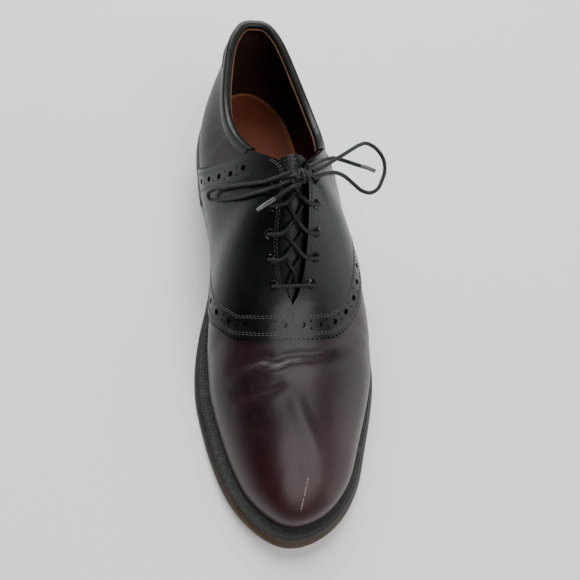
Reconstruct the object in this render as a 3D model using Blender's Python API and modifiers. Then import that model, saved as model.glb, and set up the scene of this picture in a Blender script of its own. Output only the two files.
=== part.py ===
"""Saddle shoe for the left foot: welted leather sole, hollow upper, saddle, tongue and laces.

Metres, +Z up, toe towards -Y, outer side of the foot towards +X. The floor is z = 0 and the
origin is on it, under the heel. A station is the distance from the back of the heel.
"""
import math

import bmesh
import bpy
import numpy as np
from mathutils import Vector

SHOE_LENGTH = 0.306
WIDTH_UNIT = 0.116
HEEL_HEIGHT = 0.025
TOP_LIFT_THICKNESS = 0.006
TOE_SPRING = 0.010
OUTSOLE_THICKNESS = 0.005
WELT_THICKNESS = 0.0035
WELT_REACH = 0.0093
INSOLE_THICKNESS = 0.0056
CLEARANCE = 0.0003
HEEL_FACE_STATION = 0.035
HEEL_BREAST_STATION = 0.076

UPPER_HEIGHT = 0.061
FULLNESS = 0.100
UPPER_WALL = 0.002
SADDLE_WALL = 0.0013
SADDLE_FOOT = 0.025
BACKSTAY_WALL = 0.0012
TONGUE_WALL = 0.0022
TONGUE_GAP = 0.0011
TONGUE_RISE = 0.015
TONGUE_SLOPE = 0.15
TONGUE_ARCH = 0.0008
BINDING_WALL = 0.0009
BINDING_DEPTH = 0.005
BINDING_GAP = 0.0028
BINDING_CLEARANCE = 0.0005

EYELET_INSET = 0.0062
EYELET_RADIUS = 0.0030
EYELET_BORE = 0.0013
EYELET_BARREL = 0.0017
EYELET_CROWN = 0.0006
LACE_DIAMETER = 0.0023
AGLET_DIAMETER = 0.0025
KNOT_SIZE = (0.0052, 0.0040, 0.0033)
KNOT_REACH = 0.0020
KNOT_SINK = 0.0012
KNOT_CENTRE = (0.0113, -0.0830, 0.1078)

TOE = math.pi

# Where the sole's edge lies: half widths as shares of WIDTH_UNIT, reach past the upper of WELT_REACH
OUTLINE_COLUMNS = ("station", "medial", "lateral", "reach")
OUTLINE = (
    (0.00, 0.000, 0.000, 0.28),
    (0.03, 0.168, 0.170, 0.28),
    (0.08, 0.256, 0.260, 0.28),
    (0.19, 0.318, 0.325, 0.28),
    (0.30, 0.302, 0.360, 0.25),
    (0.40, 0.275, 0.425, 0.25),
    (0.49, 0.308, 0.525, 0.55),
    (0.56, 0.366, 0.588, 0.85),
    (0.63, 0.406, 0.610, 1.00),
    (0.70, 0.418, 0.598, 1.00),
    (0.77, 0.394, 0.545, 1.00),
    (0.84, 0.355, 0.472, 1.00),
    (0.91, 0.286, 0.391, 1.00),
    (0.96, 0.190, 0.284, 1.10),
    (1.00, -0.024, 0.024, 1.22),
)

# Underside of the outsole: shares of the heel height and of the toe spring
UNDERSIDE_COLUMNS = ("station", "heel", "spring")
UNDERSIDE = (
    (0.000, 1.00, 0.00),
    (0.265, 1.00, 0.00),
    (0.320, 0.88, 0.00),
    (0.380, 0.68, 0.00),
    (0.450, 0.40, 0.00),
    (0.520, 0.16, 0.00),
    (0.570, 0.04, 0.00),
    (0.610, 0.00, 0.00),
    (0.710, 0.00, 0.00),
    (0.760, 0.00, 0.05),
    (0.830, 0.00, 0.24),
    (0.910, 0.00, 0.58),
    (1.000, 0.00, 1.00),
)

# Sections of the upper, each from its foot on the welt to its top on collar, throat or ridge.
# Top: station of SHOE_LENGTH, height of UPPER_HEIGHT, sideways of WIDTH_UNIT. Then how far the
# section swells and rises from its foot, and leans out, drops and slopes from its top, of FULLNESS.
SECTION_COLUMNS = ("station", "top", "height", "medial", "lateral", "medial_swell",
                   "lateral_swell", "rise", "lean", "drop", "slope")
SECTIONS = (
    (0.000, 0.005, 1.010, 0.000, 0.000, 0.050, 0.050, 0.200, 0.030, 0.22, 0.00),
    (0.030, 0.017, 0.995, -0.086, 0.092, 0.040, 0.050, 0.200, 0.030, 0.22, 0.00),
    (0.080, 0.052, 0.945, -0.138, 0.150, 0.035, 0.060, 0.200, 0.030, 0.21, 0.00),
    (0.140, 0.108, 0.860, -0.168, 0.206, 0.045, 0.070, 0.190, 0.040, 0.19, 0.00),
    (0.200, 0.170, 0.785, -0.185, 0.258, 0.060, 0.080, 0.180, 0.050, 0.18, 0.00),
    (0.260, 0.229, 0.785, -0.171, 0.288, 0.080, 0.080, 0.180, 0.070, 0.20, 0.00),
    (0.310, 0.275, 0.905, -0.125, 0.282, 0.090, 0.090, 0.210, 0.110, 0.21, 0.00),
    (0.360, 0.307, 1.075, -0.069, 0.246, 0.100, 0.100, 0.230, 0.150, 0.19, 0.00),
    (0.400, 0.332, 1.245, 0.000, 0.190, 0.110, 0.110, 0.250, 0.180, 0.16, 0.00),
    (0.430, 0.353, 1.345, 0.047, 0.137, 0.115, 0.120, 0.260, 0.200, 0.14, 0.00),
    (0.460, 0.382, 1.375, 0.048, 0.134, 0.115, 0.130, 0.265, 0.215, 0.12, 0.00),
    (0.500, 0.425, 1.320, 0.018, 0.134, 0.115, 0.135, 0.260, 0.235, 0.10, 0.00),
    (0.540, 0.470, 1.210, 0.004, 0.131, 0.110, 0.140, 0.250, 0.255, 0.07, 0.00),
    (0.580, 0.515, 1.090, 0.008, 0.118, 0.105, 0.145, 0.235, 0.270, 0.05, -0.20),
    (0.620, 0.555, 0.955, 0.030, 0.093, 0.100, 0.145, 0.215, 0.285, 0.02, -0.35),
    (0.645, 0.577, 0.890, 0.058, 0.058, 0.075, 0.130, 0.200, 0.320, 0.00, -0.37),
    (0.680, 0.613, 0.825, 0.056, 0.056, 0.060, 0.110, 0.190, 0.345, 0.00, -0.33),
    (0.740, 0.666, 0.735, 0.053, 0.053, 0.040, 0.085, 0.180, 0.350, 0.00, -0.27),
    (0.810, 0.728, 0.640, 0.049, 0.049, 0.020, 0.055, 0.160, 0.330, 0.00, -0.23),
    (0.880, 0.785, 0.545, 0.043, 0.043, 0.012, 0.030, 0.145, 0.300, 0.00, -0.21),
    (0.940, 0.827, 0.460, 0.037, 0.037, 0.005, 0.012, 0.140, 0.275, 0.00, -0.22),
    (1.000, 0.850, 0.397, 0.032, 0.032, 0.000, 0.000, 0.140, 0.260, 0.00, -0.26),
)
THROAT_STATION = 0.645

# Edges of the saddle: the section that each passes at a height up the wall
SADDLE_COLUMNS = ("height", "medial_rear", "lateral_rear", "medial_front", "lateral_front")
SADDLE_EDGES = (
    (0.00, 0.235, 0.225, 0.455, 0.415),
    (0.20, 0.245, 0.232, 0.525, 0.440),
    (0.35, 0.261, 0.240, 0.588, 0.490),
    (0.45, 0.275, 0.250, 0.620, 0.560),
    (0.55, 0.285, 0.262, 0.652, 0.625),
    (0.70, 0.306, 0.290, 0.678, 0.674),
    (0.85, 0.333, 0.325, 0.695, 0.694),
    (1.00, 0.345, 0.345, 0.703, 0.703),
)

# Half width of the backstay, as the section that it reaches at a height up the wall
BACKSTAY_COLUMNS = ("height", "reach")
BACKSTAY = (
    (0.02, 0.0022),
    (0.55, 0.0022),
    (0.68, 0.0045),
    (0.78, 0.0200),
    (0.84, 0.0700),
    (0.90, 0.1150),
)
BACKSTAY_HEIGHTS = (0.02, 0.1, 0.2, 0.3, 0.4, 0.5, 0.6, 0.68, 0.74, 0.79, 0.82, 0.85, 0.875, 0.9)

EYELET_SECTIONS = (0.606, 0.567, 0.533, 0.495, 0.456)
TONGUE_TOP_SECTION = 0.456
TONGUE_FOOT_SECTION = 0.680
TONGUE_HEIGHTS = (0.76, 0.82, 0.88, 0.93, 0.97)
TONGUE_TAPER = (0.86, 0.70, 0.58)

# Routes of the free laces from the knot, chosen by eye
LOOP_INNER = (
    (0.0054, -0.0818, 0.1095), (0.0024, -0.0828, 0.1094), (-0.0016, -0.0835, 0.1076),
    (-0.0048, -0.0829, 0.1044), (-0.0070, -0.0798, 0.0970), (-0.0120, -0.0772, 0.0910),
    (-0.0187, -0.0737, 0.0835), (-0.0257, -0.0702, 0.0750), (-0.0335, -0.0664, 0.0642),
    (-0.0345, -0.0667, 0.0626), (-0.0345, -0.0680, 0.0612), (-0.0337, -0.0698, 0.0610),
    (-0.0323, -0.0709, 0.0622), (-0.0299, -0.0730, 0.0660),
    (-0.0235, -0.0777, 0.0755), (-0.0172, -0.0812, 0.0840), (-0.0108, -0.0838, 0.0927),
    (-0.0073, -0.0866, 0.1004), (-0.0036, -0.0871, 0.1038), (0.0003, -0.0870, 0.1064),
    (0.0043, -0.0858, 0.1072),
)
LOOP_OUTER = (
    (0.0173, -0.0813, 0.1096), (0.0195, -0.0802, 0.1092), (0.0247, -0.0771, 0.1078),
    (0.0310, -0.0724, 0.1056), (0.0374, -0.0677, 0.1034), (0.0455, -0.0616, 0.1006),
    (0.0517, -0.0570, 0.0982), (0.0570, -0.0544, 0.0960), (0.0636, -0.0557, 0.0930),
    (0.0682, -0.0611, 0.0905), (0.0687, -0.0680, 0.0886), (0.0659, -0.0746, 0.0876),
    (0.0615, -0.0807, 0.0876), (0.0563, -0.0832, 0.0884), (0.0506, -0.0825, 0.0904),
    (0.0450, -0.0796, 0.0936), (0.0392, -0.0770, 0.0972), (0.0331, -0.0771, 0.1010),
    (0.0269, -0.0795, 0.1042), (0.0209, -0.0825, 0.1066), (0.0172, -0.0844, 0.1072),
)
END_INNER = (
    (0.0086, -0.0879, 0.1073), (0.0064, -0.0890, 0.1073), (0.0039, -0.0897, 0.1064),
    (0.0004, -0.0910, 0.1042), (-0.0029, -0.0922, 0.1014),
)
AGLET_INNER = (
    (-0.0032, -0.0922, 0.1009), (-0.0074, -0.0936, 0.0975), (-0.0113, -0.0934, 0.0905),
)
END_OUTER = (
    (0.0144, -0.0790, 0.1107), (0.0178, -0.0772, 0.1094), (0.0228, -0.0734, 0.1066),
    (0.0288, -0.0695, 0.1030), (0.0345, -0.0669, 0.0999), (0.0401, -0.0673, 0.0982),
    (0.0453, -0.0686, 0.0972), (0.0500, -0.0697, 0.0962),
)
AGLET_OUTER = (
    (0.0505, -0.0697, 0.0961), (0.0554, -0.0706, 0.0950), (0.0599, -0.0719, 0.0938),
)

RING_HEEL_STEPS = 18
RING_TOE_STEPS = 13
QUARTER_STEPS = 11
SADDLE_SIDE_STEPS = 10
SADDLE_BAND_STEPS = 3
VAMP_STEPS = 11
WALL_STEPS = 10
TONGUE_STEPS = 9
EYELET_STEPS = 9
HOLE_STEPS = 8
CORD_SPACING = 3.0


def columns(names, rows):
    """The table's columns by name"""
    return dict(zip(names, np.array(rows, dtype=float).T))


OUTLINE_TABLE = columns(OUTLINE_COLUMNS, OUTLINE)
UNDERSIDE_TABLE = columns(UNDERSIDE_COLUMNS, UNDERSIDE)
SECTION_TABLE = columns(SECTION_COLUMNS, SECTIONS)
SADDLE_TABLE = columns(SADDLE_COLUMNS, SADDLE_EDGES)
BACKSTAY_TABLE = columns(BACKSTAY_COLUMNS, BACKSTAY)


def smooth(knots, values, where):
    """Cubic curve through the values; each slope comes from the two neighbours"""
    steps = np.diff(knots)
    rises = np.diff(values) / steps
    slopes = np.empty_like(values)
    slopes[1:-1] = (rises[:-1] * steps[1:] + rises[1:] * steps[:-1]) / (steps[1:] + steps[:-1])
    slopes[0] = rises[0]
    slopes[-1] = rises[-1]
    index = np.clip(np.searchsorted(knots, where) - 1, 0, len(knots) - 2)
    width = steps[index]
    t = (where - knots[index]) / width
    start = (1 + 2 * t) * (1 - t) ** 2 * values[index] + t * (1 - t) ** 2 * width * slopes[index]
    end = t * t * (3 - 2 * t) * values[index + 1] + t * t * (t - 1) * width * slopes[index + 1]
    return start + end


def angle_at(station):
    """Angle round the shoe at a share of the length: 0 at the heel, pi at the toe"""
    return math.acos(1 - 2 * station)


def around(table, medial, lateral, angles):
    """A column read round the whole shoe; medial angles are negative"""
    knots = np.arccos(1 - 2 * table["station"])
    loop = np.concatenate([-knots[::-1], knots[1:]])
    values = np.concatenate([medial[::-1], lateral[1:]])
    turn = 2 * TOE
    loop = np.concatenate([loop[-4:-1] - turn, loop, loop[1:4] + turn])
    values = np.concatenate([values[-4:-1], values, values[1:4]])
    return smooth(loop, values, angles)


def even(table, name, angles):
    return around(table, table[name], table[name], angles)


def stations(y):
    return HEEL_FACE_STATION - y


def underside(y):
    """Height of the outsole's underside at a place along the shoe"""
    share = np.clip(stations(y) / SHOE_LENGTH, 0, 1)
    heel = smooth(UNDERSIDE_TABLE["station"], UNDERSIDE_TABLE["heel"], share)
    spring = smooth(UNDERSIDE_TABLE["station"], UNDERSIDE_TABLE["spring"], share)
    return np.clip(heel, 0, 1) * HEEL_HEIGHT + np.clip(spring, 0, 1) * TOE_SPRING


def sole_edge(angles):
    """The sole's outline seen from above"""
    x = around(OUTLINE_TABLE, -OUTLINE_TABLE["medial"], OUTLINE_TABLE["lateral"], angles) * WIDTH_UNIT
    y = HEEL_FACE_STATION - SHOE_LENGTH * (1 - np.cos(angles)) / 2
    return np.stack([x, y], axis=1)


def inset_edge(angles, reach=0.0, inset=0.0):
    """The outline moved inwards by a share of the reach and by a distance, with its outward normal"""
    step = 0.001
    along = sole_edge(angles + step) - sole_edge(angles - step)
    normal = np.stack([-along[:, 1], along[:, 0]], axis=1)
    normal /= np.linalg.norm(normal, axis=1)[:, None]
    depth = reach * WELT_REACH * even(OUTLINE_TABLE, "reach", angles) + inset
    return sole_edge(angles) - normal * depth[:, None], normal


def sole_ring(angles, reach, inset, lift):
    """A ring of the sole, above its underside by lift"""
    plan, _ = inset_edge(angles, reach, inset)
    return np.column_stack([plan, underside(plan[:, 1]) + lift])


def past_throat(angles):
    """Whether the upper's two sides meet along the ridge there"""
    return np.abs(angles) > angle_at(THROAT_STATION) - 1e-6


def wall(angles, heights):
    """Points on the upper's outer face: heights run from 0 on the welt to 1 at the top edge"""
    angles = np.asarray(angles, dtype=float)
    plan, normal = inset_edge(angles, reach=1.0)
    seat = OUTSOLE_THICKNESS + WELT_THICKNESS + 2 * CLEARANCE
    foot = np.column_stack([plan, underside(plan[:, 1]) + seat])
    side = around(SECTION_TABLE, SECTION_TABLE["medial"], SECTION_TABLE["lateral"], angles)
    other = around(SECTION_TABLE, SECTION_TABLE["medial"], SECTION_TABLE["lateral"], -angles)
    opposite, _ = inset_edge(-angles, reach=1.0)
    joined = past_throat(angles)
    side = np.where(joined, (side + other) / 2, side)
    base = np.where(joined, (foot[:, 2] + underside(opposite[:, 1]) + seat) / 2, foot[:, 2])
    top_y = HEEL_FACE_STATION - SHOE_LENGTH * even(SECTION_TABLE, "top", angles)
    top_z = base + UPPER_HEIGHT * even(SECTION_TABLE, "height", angles)
    top = np.column_stack([side * WIDTH_UNIT, top_y, top_z])
    outward = np.column_stack([normal, np.zeros(len(angles))])
    upward = np.array([0.0, 0.0, 1.0])
    swell = around(SECTION_TABLE, SECTION_TABLE["medial_swell"], SECTION_TABLE["lateral_swell"], angles)
    lean = even(SECTION_TABLE, "lean", angles) * FULLNESS
    drop = even(SECTION_TABLE, "drop", angles) * FULLNESS
    slope = even(SECTION_TABLE, "slope", angles)
    rise = even(SECTION_TABLE, "rise", angles) * FULLNESS
    low = foot + outward * swell[:, None] * FULLNESS + upward * rise[:, None]
    high = top + outward * lean[:, None] + upward * (-lean * normal[:, 1] * slope - drop)[:, None]
    t = np.broadcast_to(np.asarray(heights, dtype=float), angles.shape)[:, None]
    return ((1 - t) ** 3 * foot + 3 * t * (1 - t) ** 2 * low
            + 3 * t * t * (1 - t) * high + t ** 3 * top)


def face_normals(angles, heights):
    angles = np.asarray(angles, dtype=float)
    heights = np.broadcast_to(np.asarray(heights, dtype=float), angles.shape)
    step = 0.004
    low = np.clip(heights - step, 0, 1)
    high = np.clip(heights + step, 0, 1)
    up = wall(angles, high) - wall(angles, low)
    along = wall(angles + step, heights) - wall(angles - step, heights)
    normal = np.cross(up, along)
    return normal / np.linalg.norm(normal, axis=1)[:, None]


def wall_normals(angles, heights):
    """Outward normals, shared by the two sides along the ridge"""
    angles = np.asarray(angles, dtype=float)
    heights = np.broadcast_to(np.asarray(heights, dtype=float), angles.shape)
    normals = face_normals(angles, heights)
    joined = past_throat(angles) & (heights > 1 - 1e-6)
    normals[joined] += face_normals(-angles[joined], heights[joined])
    return normals / np.linalg.norm(normals, axis=1)[:, None]


def skin(angles, heights, offset):
    """Points at a distance outside the upper's outer face"""
    return wall(angles, heights) + wall_normals(angles, heights) * offset


def ring_angles():
    """Angles once round the shoe from the toe, with one at each side of the throat's end"""
    throat = angle_at(THROAT_STATION)
    heel = np.linspace(0, throat, RING_HEEL_STEPS + 1)
    toe = np.linspace(throat, TOE, RING_TOE_STEPS + 1)[1:]
    side = np.concatenate([heel, toe])
    return np.concatenate([-side[::-1], side[1:-1]])


def make_material(name, colour, roughness, metallic=0.0):
    material = bpy.data.materials.new(name)
    material.use_nodes = True
    shader = material.node_tree.nodes["Principled BSDF"]
    shader.inputs["Base Color"].default_value = (*colour, 1.0)
    shader.inputs["Roughness"].default_value = roughness
    shader.inputs["Metallic"].default_value = metallic
    return material


def add_object(name, data, material, collection):
    data.materials.append(material)
    part = bpy.data.objects.new(name, data)
    collection.objects.link(part)
    return part


def mesh_from(name, points, faces, closed=True):
    """A mesh whose coincident points are merged, smooth where its faces meet gently"""
    mesh = bpy.data.meshes.new(name)
    bm = bmesh.new()
    corners = [bm.verts.new(point) for point in points]
    for face in faces:
        bm.faces.new([corners[i] for i in face])
    bmesh.ops.remove_doubles(bm, verts=bm.verts, dist=0.00001)
    bmesh.ops.dissolve_degenerate(bm, edges=bm.edges, dist=0.00001)
    if closed:
        bmesh.ops.recalc_face_normals(bm, faces=bm.faces)
    bm.to_mesh(mesh)
    bm.free()
    mesh.shade_smooth()
    mesh.set_sharp_from_angle(angle=math.radians(40))
    return mesh


def grid_faces(rows, length, wrap=False, split=False):
    """Quads, or pairs of triangles, between rows of points; wrap joins a row's end to its start"""
    faces = []
    for row in range(rows - 1):
        for i in range(length if wrap else length - 1):
            j = (i + 1) % length
            a, b, c, d = (row * length + i, (row + 1) * length + i, (row + 1) * length + j, row * length + j)
            faces += [(a, b, c), (a, c, d)] if split else [(a, b, c, d)]
    return faces


def strip_caps(start, length, full):
    """Cross strips that close a ring of points which mirror each other about its middle"""
    middle = length // 2
    if full:
        pairs = [(start, start)] + [(start + i, start + length - i) for i in range(1, middle)]
    else:
        pairs = [(start + i, start + length - 1 - i) for i in range(middle)]
    pairs.append((start + middle, start + middle))
    faces = []
    for (a, b), (c, d) in zip(pairs, pairs[1:]):
        face = []
        for corner in (a, b, d, c):
            if corner not in face:
                face.append(corner)
        faces.append(face)
    return faces


def make_slab(name, rings, material, collection, full=True):
    """A closed layer of the sole lofted through its rings, bottom first"""
    length = len(rings[0])
    faces = grid_faces(len(rings), length, wrap=True)
    faces += strip_caps(0, length, full)
    faces += strip_caps((len(rings) - 1) * length, length, full)
    return add_object(name, mesh_from(name, np.concatenate(rings), faces), material, collection)


def make_band(name, rings, material, collection):
    """A closed band lofted through rings that go round its section and back to the first"""
    faces = grid_faces(len(rings) + 1, len(rings[0]), wrap=True)
    return add_object(name, mesh_from(name, np.concatenate(rings + rings[:1]), faces), material, collection)


def add_thickness(part, thickness, offset):
    solidify = part.modifiers.new("wall", "SOLIDIFY")
    solidify.thickness = thickness
    solidify.offset = offset
    return solidify


def cut(part, cutter, operation="DIFFERENCE"):
    boolean = part.modifiers.new(operation.lower(), "BOOLEAN")
    boolean.object = cutter
    boolean.operation = operation
    boolean.solver = "EXACT"


def make_outsole(material, collection):
    angles = ring_angles()
    rings = [sole_ring(angles, 0.0, 0.0012, 0.0),
             sole_ring(angles, 0.0, 0.0, 0.0012),
             sole_ring(angles, 0.05, 0.0, OUTSOLE_THICKNESS * 0.6),
             sole_ring(angles, 0.33, 0.0, OUTSOLE_THICKNESS)]
    return make_slab("outsole", rings, material, collection)


def make_welt(material, collection):
    """The welt goes right round; the upper stands on its inner ledge"""
    angles = ring_angles()
    ledge = UPPER_WALL + 2 * CLEARANCE
    low = OUTSOLE_THICKNESS + CLEARANCE
    high = low + WELT_THICKNESS
    rings = [sole_ring(angles, 0.36, 0.0, low),
             sole_ring(angles, 0.38, 0.0, high - 0.0008),
             sole_ring(angles, 0.46, 0.0, high),
             sole_ring(angles, 1.0, ledge, high),
             sole_ring(angles, 1.0, ledge, low)]
    return make_band("welt", rings, material, collection)


def make_insole(material, collection):
    angles = ring_angles()
    inset = UPPER_WALL + 3 * CLEARANCE
    low = OUTSOLE_THICKNESS + CLEARANCE
    rings = [sole_ring(angles, 1.0, inset, low),
             sole_ring(angles, 1.0, inset, low + INSOLE_THICKNESS - 0.0008),
             sole_ring(angles, 1.0, inset + 0.0008, low + INSOLE_THICKNESS)]
    return make_slab("insole", rings, material, collection)


def heel_ring(inset, z):
    breast = angle_at(HEEL_BREAST_STATION / SHOE_LENGTH)
    angles = np.linspace(-breast, breast, 2 * RING_HEEL_STEPS + 1)
    plan, _ = inset_edge(angles, 0.0, inset)
    return np.column_stack([plan, np.full(len(angles), z)])


def make_heel(stack_material, lift_material, collection):
    seat = HEEL_HEIGHT - CLEARANCE
    stack_foot = TOP_LIFT_THICKNESS + CLEARANCE
    middle = (seat + stack_foot) / 2
    rings = [heel_ring(0.0022, stack_foot), heel_ring(0.0017, middle), heel_ring(0.0010, seat)]
    make_slab("heel_stack", rings, stack_material, collection, full=False)
    rings = [heel_ring(0.0030, 0.0), heel_ring(0.0022, 0.0008), heel_ring(0.0020, TOP_LIFT_THICKNESS)]
    make_slab("top_lift", rings, lift_material, collection, full=False)


def saddle_edge(name, height):
    """Angle at which an edge of the saddle passes a height up the wall"""
    share = smooth(SADDLE_TABLE["height"], SADDLE_TABLE[name], np.array([height]))[0]
    return angle_at(share)


def panel_angles(side, height):
    """Columns from the heel to the toe at one height, which keep to both edges of the saddle"""
    name = "medial" if side < 0 else "lateral"
    rear_top = saddle_edge(name + "_rear", 1.0)
    throat = (angle_at(THROAT_STATION) - rear_top) / (saddle_edge(name + "_front", 1.0) - rear_top)
    rear = saddle_edge(name + "_rear", height)
    front = saddle_edge(name + "_front", height)
    middle = rear + (front - rear) * throat
    quarter = np.linspace(0, rear, QUARTER_STEPS + 1)
    saddle = np.linspace(rear, middle, SADDLE_SIDE_STEPS + 1)[1:]
    band = np.linspace(middle, front, SADDLE_BAND_STEPS + 1)[1:]
    vamp = np.linspace(front, TOE, VAMP_STEPS + 1)[1:]
    return side * np.concatenate([quarter, saddle, band, vamp])


def make_upper(material, collection):
    """Vamp and quarters: one wall, open at collar, throat and underneath"""
    rows = []
    for height in np.linspace(0, 1, WALL_STEPS + 1):
        angles = np.concatenate([panel_angles(-1, height)[::-1], panel_angles(1, height)[1:-1]])
        rows.append(wall(angles, height))
    faces = grid_faces(len(rows), len(rows[0]), wrap=True, split=True)
    upper = add_object("upper", mesh_from("upper", np.concatenate(rows), faces, closed=False),
                       material, collection)
    add_thickness(upper, UPPER_WALL, -1)
    return upper


def make_saddle(material, collection):
    """The saddle lies on the upper, facet for facet, and joins across the vamp"""
    points = []
    faces = []
    end = QUARTER_STEPS + SADDLE_SIDE_STEPS + SADDLE_BAND_STEPS + 1
    heights = np.linspace(0, 1, WALL_STEPS + 1)
    heights[0] = SADDLE_FOOT
    for side in (-1, 1):
        rows = [skin(panel_angles(side, height)[QUARTER_STEPS:end][::side], height, CLEARANCE)
                for height in heights]
        start = len(points)
        points += list(np.concatenate(rows))
        for face in grid_faces(len(rows), len(rows[0]), split=True):
            faces.append([start + corner for corner in face])
    saddle = add_object("saddle", mesh_from("saddle", points, faces, closed=False), material, collection)
    add_thickness(saddle, SADDLE_WALL, 1)
    return saddle


def make_backstay(material, collection):
    """A narrow strip up the back that widens into a tab below the collar"""
    rows = []
    reaches = smooth(BACKSTAY_TABLE["height"], BACKSTAY_TABLE["reach"], np.array(BACKSTAY_HEIGHTS))
    for height, reach in zip(BACKSTAY_HEIGHTS, reaches):
        angles = np.concatenate([panel_angles(-1, height)[:QUARTER_STEPS][::-1],
                                 panel_angles(1, height)[1:QUARTER_STEPS]])
        rows.append(skin(np.clip(angles, -angle_at(reach), angle_at(reach)), height, 2 * CLEARANCE))
    faces = grid_faces(len(rows), len(rows[0]))
    backstay = add_object("backstay", mesh_from("backstay", np.concatenate(rows), faces, closed=False),
                          material, collection)
    add_thickness(backstay, BACKSTAY_WALL, 1)
    return backstay


def make_binding(material, collection):
    """A folded strip over the collar's edge, from one saddle edge round the heel to the other"""
    last = QUARTER_STEPS + 1
    angles = np.concatenate([panel_angles(-1, 1.0)[:last][::-1], panel_angles(1, 1.0)[1:last]])
    edge = wall(angles, 1.0)
    out = wall_normals(angles, 1.0)
    down = wall(angles, 0.96) - edge
    down /= np.linalg.norm(down, axis=1)[:, None]
    face = BINDING_CLEARANCE
    back = -UPPER_WALL - BINDING_CLEARANCE
    skin_out = face + BINDING_WALL
    skin_in = back - BINDING_WALL
    roll = BINDING_CLEARANCE + BINDING_WALL
    section = ((face, BINDING_DEPTH), (skin_out, BINDING_DEPTH * 0.97), (skin_out + 0.0002, 0.0002),
               (face, -roll), (back, -roll), (skin_in - 0.0002, 0.0002),
               (skin_in, BINDING_DEPTH * 0.9), (back, BINDING_DEPTH * 0.9),
               (back, -BINDING_CLEARANCE), (face, -BINDING_CLEARANCE))
    rings = [edge + out * across + down * depth for across, depth in section]
    for ring in rings:
        for end, before in ((0, 1), (-1, -2)):
            gap = ring[before] - ring[end]
            ring[end] += gap * BINDING_GAP / np.linalg.norm(gap)
    count = len(angles)
    faces = grid_faces(len(rings) + 1, count)
    faces.append([i * count for i in range(len(rings))])
    faces.append([i * count + count - 1 for i in range(len(rings))])
    points = np.concatenate(rings + rings[:1])
    return add_object("collar_binding", mesh_from("collar_binding", points, faces), material, collection)


def tongue_row(share):
    """Points across the tongue's face, under the facings and over the gap between them"""
    angle = angle_at(share)
    depth = -(UPPER_WALL + TONGUE_GAP)
    heights = np.array(TONGUE_HEIGHTS)
    inner = skin(np.full(len(heights), -angle), heights, depth)
    outer = skin(np.full(len(heights), angle), heights, depth)
    rims = skin(np.array([-angle, angle]), 1.0, depth)
    middle = rims.mean(axis=0) + np.array([0, 0, TONGUE_ARCH if share < THROAT_STATION else 0])
    return np.concatenate([inner, [middle], outer[::-1]])


def make_tongue(material, collection):
    """A curved sheet under the facings; its top reaches back between their corners"""
    shares = np.linspace(TONGUE_TOP_SECTION, TONGUE_FOOT_SECTION, TONGUE_STEPS + 1)
    rows = [tongue_row(share) for share in shares]
    top = rows[0]
    centre = top[len(TONGUE_HEIGHTS)]
    for step, taper in enumerate(TONGUE_TAPER, start=1):
        reach = TONGUE_RISE * step / len(TONGUE_TAPER)
        rows.insert(0, centre + np.array([0, reach, reach * TONGUE_SLOPE]) + (top - centre) * taper)
    faces = grid_faces(len(rows), len(rows[0]))
    tongue = add_object("tongue", mesh_from("tongue", np.concatenate(rows), faces, closed=False),
                        material, collection)
    add_thickness(tongue, TONGUE_WALL, -1)
    return tongue


def eyelet_place(row, side):
    """Angle, height, point and outward normal of an eyelet on the upper's outer face"""
    angle = side * angle_at(EYELET_SECTIONS[row])
    heights = np.linspace(1, 0.7, 61)
    points = wall(np.full(len(heights), angle), heights)
    walked = np.concatenate([[0], np.cumsum(np.linalg.norm(np.diff(points, axis=0), axis=1))])
    height = np.interp(EYELET_INSET, walked, heights)
    place = np.array([angle])
    return angle, height, wall(place, height)[0], wall_normals(place, height)[0]


def saddle_face():
    """Height of the saddle's outer face above the upper's"""
    return CLEARANCE + SADDLE_WALL


def make_eyelets(material, collection):
    """Rolled metal rings, each with a barrel through its hole"""
    low = CLEARANCE
    crown = low + EYELET_CROWN
    depth = saddle_face() + UPPER_WALL + CLEARANCE
    middle = (EYELET_BORE + EYELET_RADIUS) / 2
    profile = ((middle, crown), (EYELET_RADIUS, low), (EYELET_BARREL, low), (EYELET_BARREL, -depth),
               (EYELET_BORE, -depth), (EYELET_BORE, low + EYELET_CROWN / 2))
    mesh = bpy.data.meshes.new("eyelet")
    count = len(profile)
    mesh.from_pydata([(r, 0, z) for r, z in profile], [(i, (i + 1) % count) for i in range(count)], [])
    mesh.materials.append(material)
    for row in range(len(EYELET_SECTIONS)):
        for side, name in ((-1, "inner"), (1, "outer")):
            _, _, point, normal = eyelet_place(row, side)
            eyelet = bpy.data.objects.new(f"eyelet_{name}_{row + 1}", mesh)
            collection.objects.link(eyelet)
            eyelet.location = point + normal * saddle_face()
            eyelet.rotation_mode = "QUATERNION"
            eyelet.rotation_quaternion = Vector(normal).to_track_quat("Z", "Y")
            screw = eyelet.modifiers.new("turn", "SCREW")
            screw.steps = EYELET_STEPS
            screw.render_steps = EYELET_STEPS
            screw.use_merge_vertices = True
            screw.merge_threshold = 0.00001


def make_hole_cutter(collection):
    """Ten cylinders through saddle and upper, where the eyelets' barrels pass"""
    bm = bmesh.new()
    for row in range(len(EYELET_SECTIONS)):
        for side in (-1, 1):
            _, _, point, normal = eyelet_place(row, side)
            turn = Vector(normal).to_track_quat("Z", "Y").to_matrix().to_4x4()
            turn.translation = Vector(point)
            bmesh.ops.create_cone(bm, cap_ends=True, segments=HOLE_STEPS, matrix=turn,
                                  radius1=EYELET_BARREL + CLEARANCE, radius2=EYELET_BARREL + CLEARANCE,
                                  depth=4 * (UPPER_WALL + SADDLE_WALL))
    mesh = bpy.data.meshes.new("eyelet_holes")
    bm.to_mesh(mesh)
    bm.free()
    return add_cutter("eyelet_holes", mesh, collection)


def add_cutter(name, mesh, collection):
    cutter = bpy.data.objects.new(name, mesh)
    collection.objects.link(cutter)
    cutter.hide_render = True
    cutter.display_type = "WIRE"
    return cutter


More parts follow.
